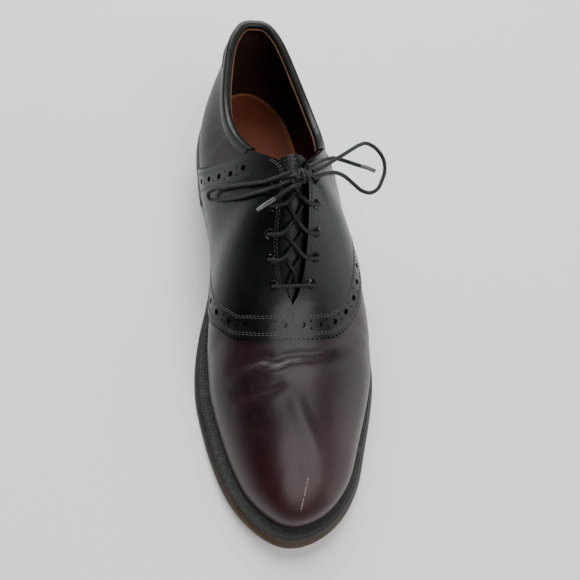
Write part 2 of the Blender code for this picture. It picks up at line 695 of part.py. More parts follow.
def cord_curve(name, route, diameter):
    """A round cord on a smooth curve through its route, with a point every few diameters"""
    route = np.array(route, dtype=float)
    walked = np.concatenate([[0], np.cumsum(np.linalg.norm(np.diff(route, axis=0), axis=1))])
    count = max(3, round(walked[-1] / (CORD_SPACING * diameter)) + 1)
    places = np.linspace(0, walked[-1], count)
    points = np.stack([smooth(walked, route[:, axis], places) for axis in range(3)], axis=1)
    curve = bpy.data.curves.new(name, "CURVE")
    curve.dimensions = "3D"
    curve.bevel_depth = diameter / 2
    curve.bevel_resolution = 2
    curve.use_fill_caps = True
    spline = curve.splines.new("POLY")
    spline.points.add(count - 1)
    for point, place in zip(spline.points, points):
        point.co = (*place, 1.0)
    return curve


def make_cord(name, route, diameter, material, collection):
    return add_object(name, cord_curve(name, route, diameter), material, collection)


def cord_mesh(name, route, diameter):
    """The same cord as a closed mesh, for joining"""
    holder = bpy.data.objects.new(name, cord_curve(name, route, diameter))
    bpy.context.scene.collection.objects.link(holder)
    graph = bpy.context.evaluated_depsgraph_get()
    mesh = bpy.data.meshes.new_from_object(holder.evaluated_get(graph))
    bpy.data.objects.remove(holder, do_unlink=True)
    bm = bmesh.new()
    bm.from_mesh(mesh)
    bmesh.ops.remove_doubles(bm, verts=bm.verts, dist=0.00001)
    bm.to_mesh(mesh)
    bm.free()
    mesh.materials.clear()
    return mesh


def over_facing(row, side):
    """A lace's points from above an eyelet to above the facing's edge"""
    angle, _, point, normal = eyelet_place(row, side)
    above = saddle_face() + 3 * CLEARANCE + EYELET_CROWN + LACE_DIAMETER / 2
    over = saddle_face() + 3 * CLEARANCE + LACE_DIAMETER / 2
    return [point + normal * above, skin(np.array([angle]), 1.0, over)[0]]


def in_throat(row, side):
    """A lace's point beside the facing's edge, between the facing and the tongue"""
    angle = side * angle_at(EYELET_SECTIONS[row])
    edges = wall(np.array([angle, -angle]), 1.0)
    inward = edges[1] - edges[0]
    inward /= np.linalg.norm(inward)
    return edges[0] + inward * LACE_DIAMETER + np.array([0, 0, -LACE_DIAMETER / 3])


def throat_middle(row):
    """Middle of the throat, halfway from this row of eyelets to the next"""
    rows = [skin(angle_at(EYELET_SECTIONS[i]) * np.array([-1, 1]), 1.0, 0).mean(axis=0)
            for i in (row, row + 1)]
    return (rows[0] + rows[1]) / 2 + np.array([0, 0, LACE_DIAMETER / 4])


def join_cords(name, routes, material, collection, cutters):
    """One solid from cords that meet"""
    joined = add_object(name, cord_mesh(name, routes[0], LACE_DIAMETER), material, collection)
    for number, route in enumerate(routes[1:], start=2):
        strand = f"{name}_strand_{number}"
        cut(joined, add_cutter(strand, cord_mesh(strand, route, LACE_DIAMETER), cutters), "UNION")
    return joined


def make_lacing(material, collection, cutters):
    """A straight bar at the bottom, then crossings up to the top eyelets"""
    start = over_facing(0, -1)
    end = over_facing(0, 1)
    bridge = (start[1] + end[1]) / 2
    make_cord("lace_bar", [*start, bridge, *reversed(end)], LACE_DIAMETER, material, collection)
    for row in range(len(EYELET_SECTIONS) - 1):
        routes = []
        for side in (-1, 1):
            start = [in_throat(row, side)] if row == 0 else over_facing(row, side)
            routes.append([*start, throat_middle(row), in_throat(row + 1, -side)])
        join_cords(f"lace_cross_{row + 1}", routes, material, collection, cutters)


def make_knot(material, collection, cutters):
    """The bow's knot, with the two runs that reach it from the top eyelets"""
    top = len(EYELET_SECTIONS) - 1
    bm = bmesh.new()
    bmesh.ops.create_uvsphere(bm, u_segments=12, v_segments=8, radius=1.0)
    bmesh.ops.scale(bm, verts=bm.verts, vec=KNOT_SIZE)
    bmesh.ops.translate(bm, verts=bm.verts, vec=KNOT_CENTRE)
    mesh = bpy.data.meshes.new("lace_knot")
    bm.to_mesh(mesh)
    bm.free()
    mesh.shade_smooth()
    knot = add_object("lace_knot", mesh, material, collection)
    for side, name in ((-1, "inner"), (1, "outer")):
        inside = np.array(KNOT_CENTRE) + np.array([side * KNOT_REACH, 0, -KNOT_SINK])
        run = cord_mesh(f"knot_run_{name}", [*over_facing(top, side), inside], LACE_DIAMETER)
        cut(knot, add_cutter(f"knot_run_{name}", run, cutters), "UNION")


def make_bow(lace_material, aglet_material, collection):
    make_cord("lace_loop_inner", LOOP_INNER, LACE_DIAMETER, lace_material, collection)
    make_cord("lace_loop_outer", LOOP_OUTER, LACE_DIAMETER, lace_material, collection)
    make_cord("lace_end_inner", END_INNER, LACE_DIAMETER, lace_material, collection)
    make_cord("lace_end_outer", END_OUTER, LACE_DIAMETER, lace_material, collection)
    make_cord("aglet_inner", AGLET_INNER, AGLET_DIAMETER, aglet_material, collection)
    make_cord("aglet_outer", AGLET_OUTER, AGLET_DIAMETER, aglet_material, collection)


def main():
    for part in list(bpy.data.objects):
        bpy.data.objects.remove(part, do_unlink=True)
    shoe = bpy.data.collections.new("saddle_shoe")
    cutters = bpy.data.collections.new("cutters")
    for collection in (shoe, cutters):
        bpy.context.scene.collection.children.link(collection)
    sole_edge_finish = make_material("sole_edge", (0.030, 0.026, 0.024), 0.55)
    welt_leather = make_material("welt_leather", (0.012, 0.012, 0.013), 0.60)
    heel_leather = make_material("heel_leather", (0.020, 0.016, 0.014), 0.45)
    heel_rubber = make_material("heel_rubber", (0.015, 0.015, 0.015), 0.80)
    insole_leather = make_material("insole_leather", (0.120, 0.050, 0.025), 0.60)
    burgundy = make_material("burgundy_leather", (0.055, 0.012, 0.018), 0.25)
    saddle_leather = make_material("saddle_leather", (0.010, 0.010, 0.012), 0.28)
    backstay_leather = make_material("backstay_leather", (0.013, 0.013, 0.014), 0.30)
    binding_leather = make_material("binding_leather", (0.016, 0.017, 0.016), 0.38)
    tongue_leather = make_material("tongue_leather", (0.012, 0.012, 0.013), 0.35)
    eyelet_metal = make_material("eyelet_metal", (0.20, 0.20, 0.20), 0.35, metallic=1.0)
    lace_cord = make_material("lace_cord", (0.012, 0.014, 0.014), 0.50)
    aglet_film = make_material("aglet_film", (0.30, 0.30, 0.30), 0.30)
    make_outsole(sole_edge_finish, shoe)
    make_welt(welt_leather, shoe)
    make_heel(heel_leather, heel_rubber, shoe)
    make_insole(insole_leather, shoe)
    holes = make_hole_cutter(cutters)
    cut(make_upper(burgundy, shoe), holes)
    cut(make_saddle(saddle_leather, shoe), holes)
    make_backstay(backstay_leather, shoe)
    make_binding(binding_leather, shoe)
    make_tongue(tongue_leather, shoe)
    make_eyelets(eyelet_metal, shoe)
    make_lacing(lace_cord, shoe, cutters)
    make_knot(lace_cord, shoe, cutters)
    make_bow(lace_cord, aglet_film, shoe)


main()
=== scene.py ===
import math

import bpy
import numpy as np
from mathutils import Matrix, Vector


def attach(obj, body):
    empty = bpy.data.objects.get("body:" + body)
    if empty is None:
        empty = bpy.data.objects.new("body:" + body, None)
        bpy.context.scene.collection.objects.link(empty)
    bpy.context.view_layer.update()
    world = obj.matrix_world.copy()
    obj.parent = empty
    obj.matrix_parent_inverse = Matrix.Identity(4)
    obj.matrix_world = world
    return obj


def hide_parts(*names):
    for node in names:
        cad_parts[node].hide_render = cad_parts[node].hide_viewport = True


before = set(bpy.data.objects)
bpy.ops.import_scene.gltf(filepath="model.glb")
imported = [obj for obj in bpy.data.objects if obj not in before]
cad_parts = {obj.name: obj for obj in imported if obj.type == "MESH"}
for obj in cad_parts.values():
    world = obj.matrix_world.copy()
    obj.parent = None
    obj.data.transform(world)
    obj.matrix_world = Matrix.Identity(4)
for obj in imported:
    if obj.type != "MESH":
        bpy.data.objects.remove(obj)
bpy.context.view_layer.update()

print("saddle shoe: frame loaded")

# camera, floor and light

view = {
    "place": (-0.0682, -0.2430, 0.3700),
    "turn": (21.12, -10.98, -7.69),  # degrees about X, Y and Z
    "lens": 36.06,
}
bpy.ops.object.camera_add(location=view["place"], rotation=[math.radians(a) for a in view["turn"]])
camera = bpy.context.object
camera.name = "photoCamera"
camera.data.lens = view["lens"]
camera.data.sensor_width = 36
camera.data.clip_start = 0.01
bpy.context.scene.camera = camera


class Wire:
    # one output socket; plain arithmetic on it adds Math nodes
    def __init__(self, paint, socket):
        self.paint = paint
        self.socket = socket

    def maths(self, operation, *others, **settings):
        values = dict(enumerate((self,) + others))
        return self.paint.node("ShaderNodeMath", {"operation": operation, **settings}, values)

    def __add__(self, other):
        return self.maths("ADD", other)

    def __sub__(self, other):
        return self.maths("SUBTRACT", other)

    def __rsub__(self, other):
        return self.paint.node("ShaderNodeMath", {"operation": "SUBTRACT"}, {0: other, 1: self})

    def __mul__(self, other):
        return self.maths("MULTIPLY", other)

    __radd__ = __add__
    __rmul__ = __mul__


class Nodes:
    # a node tree and the shader that it feeds
    def __init__(self, tree, shader, constants):
        self.tree = tree
        self.shader = tree.nodes[shader]
        for socket, value in constants.items():
            self.shader.inputs[socket.replace("_", " ")].default_value = value

    def node(self, kind, settings=None, values=None, output=0):
        made = self.tree.nodes.new(kind)
        for key, value in (settings or {}).items():
            if key == "stops":
                ramp = made.color_ramp.elements
                while len(ramp) < len(value):
                    ramp.new(0.5)
                for stop, (place, shade) in zip(ramp, value):
                    stop.position = place
                    stop.color = (*shade, 1)
            else:
                setattr(made, key, value)
        for key, value in (values or {}).items():
            if isinstance(value, Wire):
                self.tree.links.new(value.socket, made.inputs[key])
            else:
                made.inputs[key].default_value = value
        return Wire(self, made.outputs[output])

    def feed(self, socket, wire):
        self.tree.links.new(wire.socket, self.shader.inputs[socket])

    def place(self, kind="Object"):
        return self.node("ShaderNodeTexCoord", output=kind)

    def axis(self, letter, kind="Object"):
        return self.node("ShaderNodeSeparateXYZ", {}, {0: self.place(kind)}, output=letter)


class Paint(Nodes):
    # a material around one Principled shader
    def __init__(self, name, **constants):
        self.material = bpy.data.materials.new(name)
        self.material.use_nodes = True
        super().__init__(self.material.node_tree, "Principled BSDF", constants)

    def noise(self, scale, detail=2.0, roughness=0.5, stretch=(1, 1, 1), turn=(0, 0, 0)):
        where = self.node("ShaderNodeMapping", {}, {"Vector": self.place(), "Scale": stretch,
                                                    "Rotation": turn})
        return self.node("ShaderNodeTexNoise", {}, {"Vector": where, "Scale": scale, "Detail": detail,
                                                    "Roughness": roughness})

    def cells(self, scale, feature="F1", output="Distance"):
        return self.node("ShaderNodeTexVoronoi", {"feature": feature},
                         {"Vector": self.place(), "Scale": scale}, output=output)

    def remap(self, wire, low, high, to=(0, 1)):
        values = {0: wire, 1: low, 2: high, 3: to[0], 4: to[1]}
        return self.node("ShaderNodeMapRange", {"clamp": True}, values)

    def blend(self, mask, first, second, mode="MIX"):
        values = {0: mask, 6: first, 7: second}
        return self.node("ShaderNodeMix", {"data_type": "RGBA", "blend_type": mode}, values, output=2)

    def attribute(self, name):
        return self.node("ShaderNodeAttribute", {"attribute_name": name}, output="Fac")

    def bump(self, *layers):
        # layers are (height wire, depth in metres), coarse first
        normal = None
        for height, depth in layers:
            values = {"Height": height, "Strength": 1.0, "Distance": depth}
            if normal:
                values["Normal"] = normal
            normal = self.node("ShaderNodeBump", {}, values)
        self.feed("Normal", normal)


def colour(red, green, blue):
    return (red, green, blue, 1.0)


stage = {"half": 2.6, "paper": (0.80, 0.805, 0.80), "roughness": 0.8}
bpy.ops.mesh.primitive_plane_add(size=2 * stage["half"])
floor = bpy.context.object
floor.name = "paleFloor"
paper = Paint("palePaper", Roughness=stage["roughness"], Base_Color=colour(*stage["paper"]))
floor.data.materials.append(paper.material)

# softboxes: place, size across and along, watts, and the point each faces
lamps = {
    "backTop": ((-0.10, 1.30, 1.60), (2.0, 1.6), 85.0, (0.0, -0.14, 0.05)),
    "frontTop": ((0.34, -0.80, 1.30), (1.0, 1.0), 12.0, (0.0, -0.14, 0.05)),
    "outerWall": ((1.80, -0.50, 0.60), (2.5, 1.2), 14.0, (0.0, -0.12, 0.05)),
}
for name, (spot, size, watts, aim) in lamps.items():
    bpy.ops.object.light_add(type="AREA", location=spot)
    lamp = bpy.context.object
    lamp.name = name
    lamp.data.shape = "RECTANGLE"
    lamp.data.size, lamp.data.size_y = size
    lamp.data.energy = watts
    lamp.rotation_euler = (Vector(aim) - Vector(spot)).to_track_quat("-Z", "Y").to_euler()

world = bpy.context.scene.world or bpy.data.worlds.new("studio")
bpy.context.scene.world = world
world.use_nodes = True
# a dim room with a pale band of wall low all round
room = {"tint": (0.90, 0.93, 0.96, 1), "above": 0.08, "wall": 0.55, "wallTop": (0.16, 0.42)}
air = Nodes(world.node_tree, "Background", {"Color": room["tint"]})
wallTop, wallEnd = room["wallTop"]
air.feed("Strength", air.node("ShaderNodeMapRange", {"interpolation_type": "SMOOTHSTEP"},
                              {0: air.axis("Z", "Generated"), 1: wallTop, 2: wallEnd,
                               3: room["wall"], 4: room["above"]}))
print("saddle shoe: camera, floor and light")

# the shoe's form, as in the solids

shoe = {
    "length": 0.306, "width": 0.116, "heel": 0.025, "lift": 0.006, "spring": 0.010,
    "sole": 0.005, "welt": 0.0035, "reach": 0.0093, "insole": 0.0056, "gap": 0.0003,
    "heelFace": 0.035, "breast": 0.076, "height": 0.061, "fullness": 0.100, "throat": 0.645,
    "wall": 0.002, "saddle": 0.0013, "blur": 0.035,
}

# station, medial and lateral half width, reach
outlineTable = np.array([
    (0.00, 0.000, 0.000, 0.28), (0.03, 0.168, 0.170, 0.28), (0.08, 0.256, 0.260, 0.28),
    (0.19, 0.318, 0.325, 0.28), (0.30, 0.302, 0.360, 0.25), (0.40, 0.275, 0.425, 0.25),
    (0.49, 0.308, 0.525, 0.55), (0.56, 0.366, 0.588, 0.85), (0.63, 0.406, 0.610, 1.00),
    (0.70, 0.418, 0.598, 1.00), (0.77, 0.394, 0.545, 1.00), (0.84, 0.355, 0.472, 1.00),
    (0.91, 0.286, 0.391, 1.00), (0.96, 0.190, 0.284, 1.10), (1.00, -0.024, 0.024, 1.22),
])
# station, share of the heel's height, share of the toe spring
undersideTable = np.array([
    (0.000, 1.00, 0.00), (0.265, 1.00, 0.00), (0.320, 0.88, 0.00), (0.380, 0.68, 0.00),
    (0.450, 0.40, 0.00), (0.520, 0.16, 0.00), (0.570, 0.04, 0.00), (0.610, 0.00, 0.00),
    (0.710, 0.00, 0.00), (0.760, 0.00, 0.05), (0.830, 0.00, 0.24), (0.910, 0.00, 0.58),
    (1.000, 0.00, 1.00),
])
# station, top, height, medial, lateral, medial swell, lateral swell, rise, lean, drop, slope
sectionTable = np.array([
    (0.000, 0.005, 1.010, 0.000, 0.000, 0.050, 0.050, 0.200, 0.030, 0.22, 0.00),
    (0.030, 0.017, 0.995, -0.086, 0.092, 0.040, 0.050, 0.200, 0.030, 0.22, 0.00),
    (0.080, 0.052, 0.945, -0.138, 0.150, 0.035, 0.060, 0.200, 0.030, 0.21, 0.00),
    (0.140, 0.108, 0.860, -0.168, 0.206, 0.045, 0.070, 0.190, 0.040, 0.19, 0.00),
    (0.200, 0.170, 0.785, -0.185, 0.258, 0.060, 0.080, 0.180, 0.050, 0.18, 0.00),
    (0.260, 0.229, 0.785, -0.171, 0.288, 0.080, 0.080, 0.180, 0.070, 0.20, 0.00),
    (0.310, 0.275, 0.905, -0.125, 0.282, 0.090, 0.090, 0.210, 0.110, 0.21, 0.00),
    (0.360, 0.307, 1.075, -0.069, 0.246, 0.100, 0.100, 0.230, 0.150, 0.19, 0.00),
    (0.400, 0.332, 1.245, 0.000, 0.190, 0.110, 0.110, 0.250, 0.180, 0.16, 0.00),
    (0.430, 0.353, 1.345, 0.047, 0.137, 0.115, 0.120, 0.260, 0.200, 0.14, 0.00),
    (0.460, 0.382, 1.375, 0.048, 0.134, 0.115, 0.130, 0.265, 0.215, 0.12, 0.00),
    (0.500, 0.425, 1.320, 0.018, 0.134, 0.115, 0.135, 0.260, 0.235, 0.10, 0.00),
    (0.540, 0.470, 1.210, 0.004, 0.131, 0.110, 0.140, 0.250, 0.255, 0.07, 0.00),
    (0.580, 0.515, 1.090, 0.008, 0.118, 0.105, 0.145, 0.235, 0.270, 0.05, -0.20),
    (0.620, 0.555, 0.955, 0.030, 0.093, 0.100, 0.145, 0.215, 0.285, 0.02, -0.35),
    (0.645, 0.577, 0.890, 0.058, 0.058, 0.075, 0.130, 0.200, 0.320, 0.00, -0.37),
    (0.680, 0.613, 0.825, 0.056, 0.056, 0.060, 0.110, 0.190, 0.345, 0.00, -0.33),
    (0.740, 0.666, 0.735, 0.053, 0.053, 0.040, 0.085, 0.180, 0.350, 0.00, -0.27),
    (0.810, 0.728, 0.640, 0.049, 0.049, 0.020, 0.055, 0.160, 0.330, 0.00, -0.23),
    (0.880, 0.785, 0.545, 0.043, 0.043, 0.012, 0.030, 0.145, 0.300, 0.00, -0.21),
    (0.940, 0.827, 0.460, 0.037, 0.037, 0.005, 0.012, 0.140, 0.275, 0.00, -0.22),
    (1.000, 0.850, 0.397, 0.032, 0.032, 0.000, 0.000, 0.140, 0.260, 0.00, -0.26),
])
# height, then the saddle's medial rear, lateral rear, medial front and lateral front edges
saddleTable = np.array([
    (0.00, 0.235, 0.225, 0.455, 0.415), (0.20, 0.245, 0.232, 0.525, 0.440),
    (0.35, 0.261, 0.240, 0.588, 0.490), (0.45, 0.275, 0.250, 0.620, 0.560),
    (0.55, 0.285, 0.262, 0.652, 0.625), (0.70, 0.306, 0.290, 0.678, 0.674),
    (0.85, 0.333, 0.325, 0.695, 0.694), (1.00, 0.345, 0.345, 0.703, 0.703),
])
# height, reach of the backstay
backstayTable = np.array([
    (0.02, 0.0022), (0.55, 0.0022), (0.68, 0.0045), (0.78, 0.0200), (0.84, 0.0700), (0.90, 0.1150),
])


def smooth(knots, values, where):
    # cubic curve through the values, each slope from its two neighbours
    steps = np.diff(knots)
    rises = np.diff(values) / steps
    inner = (rises[:-1] * steps[1:] + rises[1:] * steps[:-1]) / (steps[1:] + steps[:-1])
    slopes = np.concatenate([rises[:1], inner, rises[-1:]])
    index = np.clip(np.searchsorted(knots, where) - 1, 0, len(knots) - 2)
    width = steps[index]
    t = (where - knots[index]) / width
    start = (1 + 2 * t) * (1 - t) ** 2 * values[index] + t * (1 - t) ** 2 * width * slopes[index]
    end = t * t * (3 - 2 * t) * values[index + 1] + t * t * (t - 1) * width * slopes[index + 1]
    return start + end


def angleAt(share):
    return np.arccos(1 - 2 * np.asarray(share, dtype=float))


loopAngles = np.linspace(-math.pi, math.pi, 4096, endpoint=False)


def loopColumn(knots, medial, lateral, blur=shoe["blur"]):
    # a column read right round the shoe, medial angles negative, its corners softened
    knots = angleAt(knots)
    turns = np.concatenate([-knots[::-1], knots[1:]])
    values = np.concatenate([medial[::-1], lateral[1:]])
    turns = np.concatenate([turns[-4:-1] - 2 * math.pi, turns, turns[1:4] + 2 * math.pi])
    values = np.concatenate([values[-4:-1], values, values[1:4]])
    line = smooth(turns, values, loopAngles)
    kernel = np.exp(-0.5 * (loopAngles / blur) ** 2)
    kernel = np.fft.fft(np.fft.ifftshift(kernel / kernel.sum()))
    return np.fft.ifft(np.fft.fft(line) * kernel).real


edgeX = loopColumn(outlineTable[:, 0], -outlineTable[:, 1], outlineTable[:, 2])
edgeReach = loopColumn(outlineTable[:, 0], outlineTable[:, 3], outlineTable[:, 3])
sections = {name: loopColumn(sectionTable[:, 0], sectionTable[:, i], sectionTable[:, j]) for name, i, j in (
    ("top", 1, 1), ("height", 2, 2), ("side", 3, 4), ("swell", 5, 6), ("rise", 7, 7), ("lean", 8, 8),
    ("drop", 9, 9), ("slope", 10, 10))}


def around(line, angles):
    wrapped = (np.asarray(angles, dtype=float) + math.pi) % (2 * math.pi) - math.pi
    return np.interp(wrapped, np.append(loopAngles, math.pi), np.append(line, line[0]))


def underside(y):
    share = np.clip((shoe["heelFace"] - y) / shoe["length"], 0, 1)
    heel = smooth(undersideTable[:, 0], undersideTable[:, 1], share)
    spring = smooth(undersideTable[:, 0], undersideTable[:, 2], share)
    return np.clip(heel, 0, 1) * shoe["heel"] + np.clip(spring, 0, 1) * shoe["spring"]


def soleEdge(angles):
    y = shoe["heelFace"] - shoe["length"] * (1 - np.cos(angles)) / 2
    return np.stack([around(edgeX, angles) * shoe["width"], y], axis=1)


def insetEdge(angles, reach=0.0, inset=0.0):
    # the outline moved inwards, with its outward normal
    along = soleEdge(angles + 0.004) - soleEdge(angles - 0.004)
    normal = np.stack([-along[:, 1], along[:, 0]], axis=1)
    normal /= np.linalg.norm(normal, axis=1)[:, None]
    depth = reach * shoe["reach"] * around(edgeReach, angles) + inset
    return soleEdge(angles) - normal * np.asarray(depth)[:, None], normal


def wall(angles, heights):
    # the upper's outer face: heights run from 0 on the welt to 1 at the top edge
    angles = np.asarray(angles, dtype=float)
    plan, normal = insetEdge(angles, reach=1.0)
    seat = shoe["sole"] + shoe["welt"] + 2 * shoe["gap"]
    foot = np.column_stack([plan, underside(plan[:, 1]) + seat])
    side = around(sections["side"], angles)
    both = (side + around(sections["side"], -angles)) / 2
    closing = np.clip((np.abs(angles) - angleAt(0.625)) / (angleAt(shoe["throat"]) - angleAt(0.625)), 0, 1)
    closing = closing * closing * (3 - 2 * closing)
    side += (both - side) * closing
    opposite = underside(insetEdge(-angles, reach=1.0)[0][:, 1]) + seat
    base = foot[:, 2] + (opposite - foot[:, 2]) / 2 * closing
    top = np.column_stack([side * shoe["width"],
                           shoe["heelFace"] - shoe["length"] * around(sections["top"], angles),
                           base + shoe["height"] * around(sections["height"], angles)])
    outward = np.column_stack([normal, np.zeros(len(angles))])
    upward = np.array([0.0, 0.0, 1.0])
    full = shoe["fullness"]
    swell, rise, lean, drop = (around(sections[name], angles) * full
                               for name in ("swell", "rise", "lean", "drop"))
    slope = around(sections["slope"], angles)
    low = foot + outward * swell[:, None] + upward * rise[:, None]
    high = top + outward * lean[:, None] + upward * (-lean * normal[:, 1] * slope - drop)[:, None]
    t = np.broadcast_to(np.asarray(heights, dtype=float), angles.shape)[:, None]
    return ((1 - t) ** 3 * foot + 3 * t * (1 - t) ** 2 * low
            + 3 * t * t * (1 - t) * high + t ** 3 * top)


def wallFrame(angles, heights):
    # steps of the wall along both of its directions, and its outward normal
    angles = np.asarray(angles, dtype=float)
    heights = np.broadcast_to(np.asarray(heights, dtype=float), angles.shape)
    step = 0.004
    low = np.clip(heights - step, 0, 1)
    high = np.clip(heights + step, 0, 1)
    up = (wall(angles, high) - wall(angles, low)) / (high - low)[:, None]
    level = np.minimum(heights, 0.985)  # the sides meet above it, where a step along would be nothing
    along = (wall(angles + step, level) - wall(angles - step, level)) / (2 * step)
    normal = np.cross(up, along)
    return along, up, normal / np.linalg.norm(normal, axis=1)[:, None]


def skin(angles, heights, offset):
    return wall(angles, heights) + wallFrame(angles, heights)[2] * np.asarray(offset).reshape(-1, 1)


def dot(a, b):
    return (a * b).sum(axis=1)


def facingOut(angles, heights):
    # the outward normal, the same for both sides where they meet along the ridge
    heights = np.broadcast_to(np.asarray(heights, dtype=float), angles.shape)
    normal = wallFrame(angles, heights)[2]
    meet = (heights > 0.9999) & (np.abs(angles) > float(angleAt(shoe["throat"])) - 0.001)
    both = normal[meet] + wallFrame(-angles[meet], heights[meet])[2]
    normal[meet] = both / np.linalg.norm(both, axis=1)[:, None]
    return normal


def walk(angles, heights, direction, distance, steps=4):
    # moves places over the wall by a distance
    angles, heights = angles.copy(), heights.copy()
    for _ in range(steps):
        along, up, normal = wallFrame(angles, heights)
        move = direction - normal * dot(direction, normal)[:, None]
        move *= (distance / steps) / np.linalg.norm(move, axis=1)[:, None]
        a, b, c = dot(along, along), dot(along, up), dot(up, up)
        p, q = dot(along, move), dot(up, move)
        angles += (c * p - b * q) / (a * c - b * b)
        heights = np.clip(heights + (a * q - b * p) / (a * c - b * b), 0, 1)
    return angles, heights


def saddleEdge(name, heights):
    column = {"medialRear": 1, "lateralRear": 2, "medialFront": 3, "lateralFront": 4}[name]
    return angleAt(smooth(saddleTable[:, 0], saddleTable[:, column], np.asarray(heights, dtype=float)))


def lengths(points):
    return np.concatenate([[0], np.cumsum(np.linalg.norm(np.diff(points, axis=0), axis=1))])


print("saddle shoe: form ready")

# making meshes


def deselect():
    bpy.ops.object.select_all(action="DESELECT")


def activate(piece):
    deselect()
    piece.select_set(True)
    bpy.context.view_layer.objects.active = piece


def applyAll(piece):
    activate(piece)
    for modifier in list(piece.modifiers):
        bpy.ops.object.modifier_apply(modifier=modifier.name)


def gridPiece(name, columns, rows, place, recalc=False, marks=None):
    # a flat grid, each of its points put in place, and marked, by its shares across and up
    deselect()
    bpy.ops.mesh.primitive_grid_add(x_subdivisions=columns, y_subdivisions=rows, size=2)
    piece = bpy.context.object
    piece.name = name
    mesh = piece.data
    flat = np.empty(len(mesh.vertices) * 3)
    mesh.vertices.foreach_get("co", flat)
    flat = flat.reshape(-1, 3)
    across, up = (flat[:, 0] + 1) / 2, (flat[:, 1] + 1) / 2
    mesh.vertices.foreach_set("co", place(across, up).ravel())
    for mark, values in (marks(across, up) if marks else {}).items():
        mesh.attributes.new(mark, "FLOAT", "POINT").data.foreach_set("value", values)
    bpy.ops.object.mode_set(mode="EDIT")
    bpy.ops.mesh.select_all(action="SELECT")
    bpy.ops.mesh.remove_doubles(threshold=0.00001)
    if recalc:
        bpy.ops.mesh.normals_make_consistent(inside=False)
    bpy.ops.object.mode_set(mode="OBJECT")
    return piece


def thicken(piece, thickness, outwards=False):
    solid = piece.modifiers.new("thickness", "SOLIDIFY")
    solid.thickness = thickness
    solid.offset = 1 if outwards else -1
    applyAll(piece)


def softEdges(piece, degrees=35):
    activate(piece)
    bpy.ops.object.shade_smooth_by_angle(angle=math.radians(degrees))


def dress(piece, paint, slot, *nodes):
    piece.data.materials.clear()
    piece.data.materials.append(paint.material)
    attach(piece, "root")
    if nodes:
        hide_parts(*nodes)


# the free laces, first

lace = {
    "diameter": 0.0023, "aglet": 0.0025, "spacing": 0.0007,
    "eyelets": (0.606, 0.567, 0.533, 0.495, 0.456), "inset": 0.0062, "crown": 0.0006,
    "knotCentre": (0.0113, -0.0830, 0.1078), "knotCore": (0.0042, 0.0028, 0.0022),
    "knotReach": 0.0020, "knotSink": 0.0012,
    "wraps": ((-0.0020, 14, 0.0031), (0.0002, -6, 0.0036), (0.0023, -18, 0.0031)),  # across, tilt, radius
    "loopInner": (
        (0.0054, -0.0818, 0.1095), (0.0024, -0.0828, 0.1094), (-0.0016, -0.0835, 0.1076),
        (-0.0048, -0.0829, 0.1044), (-0.0070, -0.0798, 0.0970), (-0.0120, -0.0772, 0.0910),
        (-0.0187, -0.0737, 0.0835), (-0.0257, -0.0702, 0.0750), (-0.0335, -0.0664, 0.0642),
        (-0.0345, -0.0667, 0.0626), (-0.0345, -0.0680, 0.0612), (-0.0337, -0.0698, 0.0610),
        (-0.0323, -0.0709, 0.0622), (-0.0299, -0.0730, 0.0660),
        (-0.0235, -0.0777, 0.0755), (-0.0172, -0.0812, 0.0840), (-0.0108, -0.0838, 0.0927),
        (-0.0073, -0.0866, 0.1004), (-0.0036, -0.0871, 0.1038), (0.0003, -0.0870, 0.1064),
        (0.0043, -0.0858, 0.1072)),
    "loopOuter": (
        (0.0173, -0.0813, 0.1096), (0.0195, -0.0802, 0.1092), (0.0247, -0.0771, 0.1078),
        (0.0310, -0.0724, 0.1056), (0.0374, -0.0677, 0.1034), (0.0455, -0.0616, 0.1006),
        (0.0517, -0.0570, 0.0982), (0.0570, -0.0544, 0.0960), (0.0636, -0.0557, 0.0930),
        (0.0682, -0.0611, 0.0905), (0.0687, -0.0680, 0.0886), (0.0659, -0.0746, 0.0876),
        (0.0615, -0.0807, 0.0876), (0.0563, -0.0832, 0.0884), (0.0506, -0.0825, 0.0904),
        (0.0450, -0.0796, 0.0936), (0.0392, -0.0770, 0.0972), (0.0331, -0.0771, 0.1010),
        (0.0269, -0.0795, 0.1042), (0.0209, -0.0825, 0.1066), (0.0172, -0.0844, 0.1072)),
    "endInner": (
        (0.0122, -0.0856, 0.1077), (0.0086, -0.0879, 0.1073), (0.0064, -0.0890, 0.1073),
        (0.0039, -0.0897, 0.1064), (0.0004, -0.0910, 0.1042), (-0.0029, -0.0922, 0.1014)),
    "agletInner": ((-0.0032, -0.0922, 0.1009), (-0.0074, -0.0936, 0.0975), (-0.0113, -0.0934, 0.0905)),
    "endOuter": (
        (0.0144, -0.0790, 0.1107), (0.0178, -0.0772, 0.1094), (0.0228, -0.0734, 0.1066),
        (0.0288, -0.0695, 0.1030), (0.0345, -0.0669, 0.0999), (0.0401, -0.0673, 0.0982),
        (0.0453, -0.0686, 0.0972), (0.0500, -0.0697, 0.0962)),
    "agletOuter": ((0.0505, -0.0697, 0.0961), (0.0554, -0.0706, 0.0950), (0.0599, -0.0719, 0.0938)),
}


def smoothRoute(route, spacing):
    route = np.array(route, dtype=float)
    walked = lengths(route)
    places = np.linspace(0, walked[-1], max(4, round(walked[-1] / spacing) + 1))
    return np.stack([smooth(walked, route[:, axis], places) for axis in range(3)], axis=1)


def turning(points):
    # the line's direction and two steady directions across it
    along = np.gradient(points, axis=0)
    along /= np.linalg.norm(along, axis=1)[:, None]
    side = np.zeros_like(points)
    across = np.cross(along[0], (0.0, 0.0, 1.0))
    for i, step in enumerate(along):
        across = across - step * across.dot(step)
        across = across / np.linalg.norm(across)
        side[i] = across
    return along, side, np.cross(along, side)


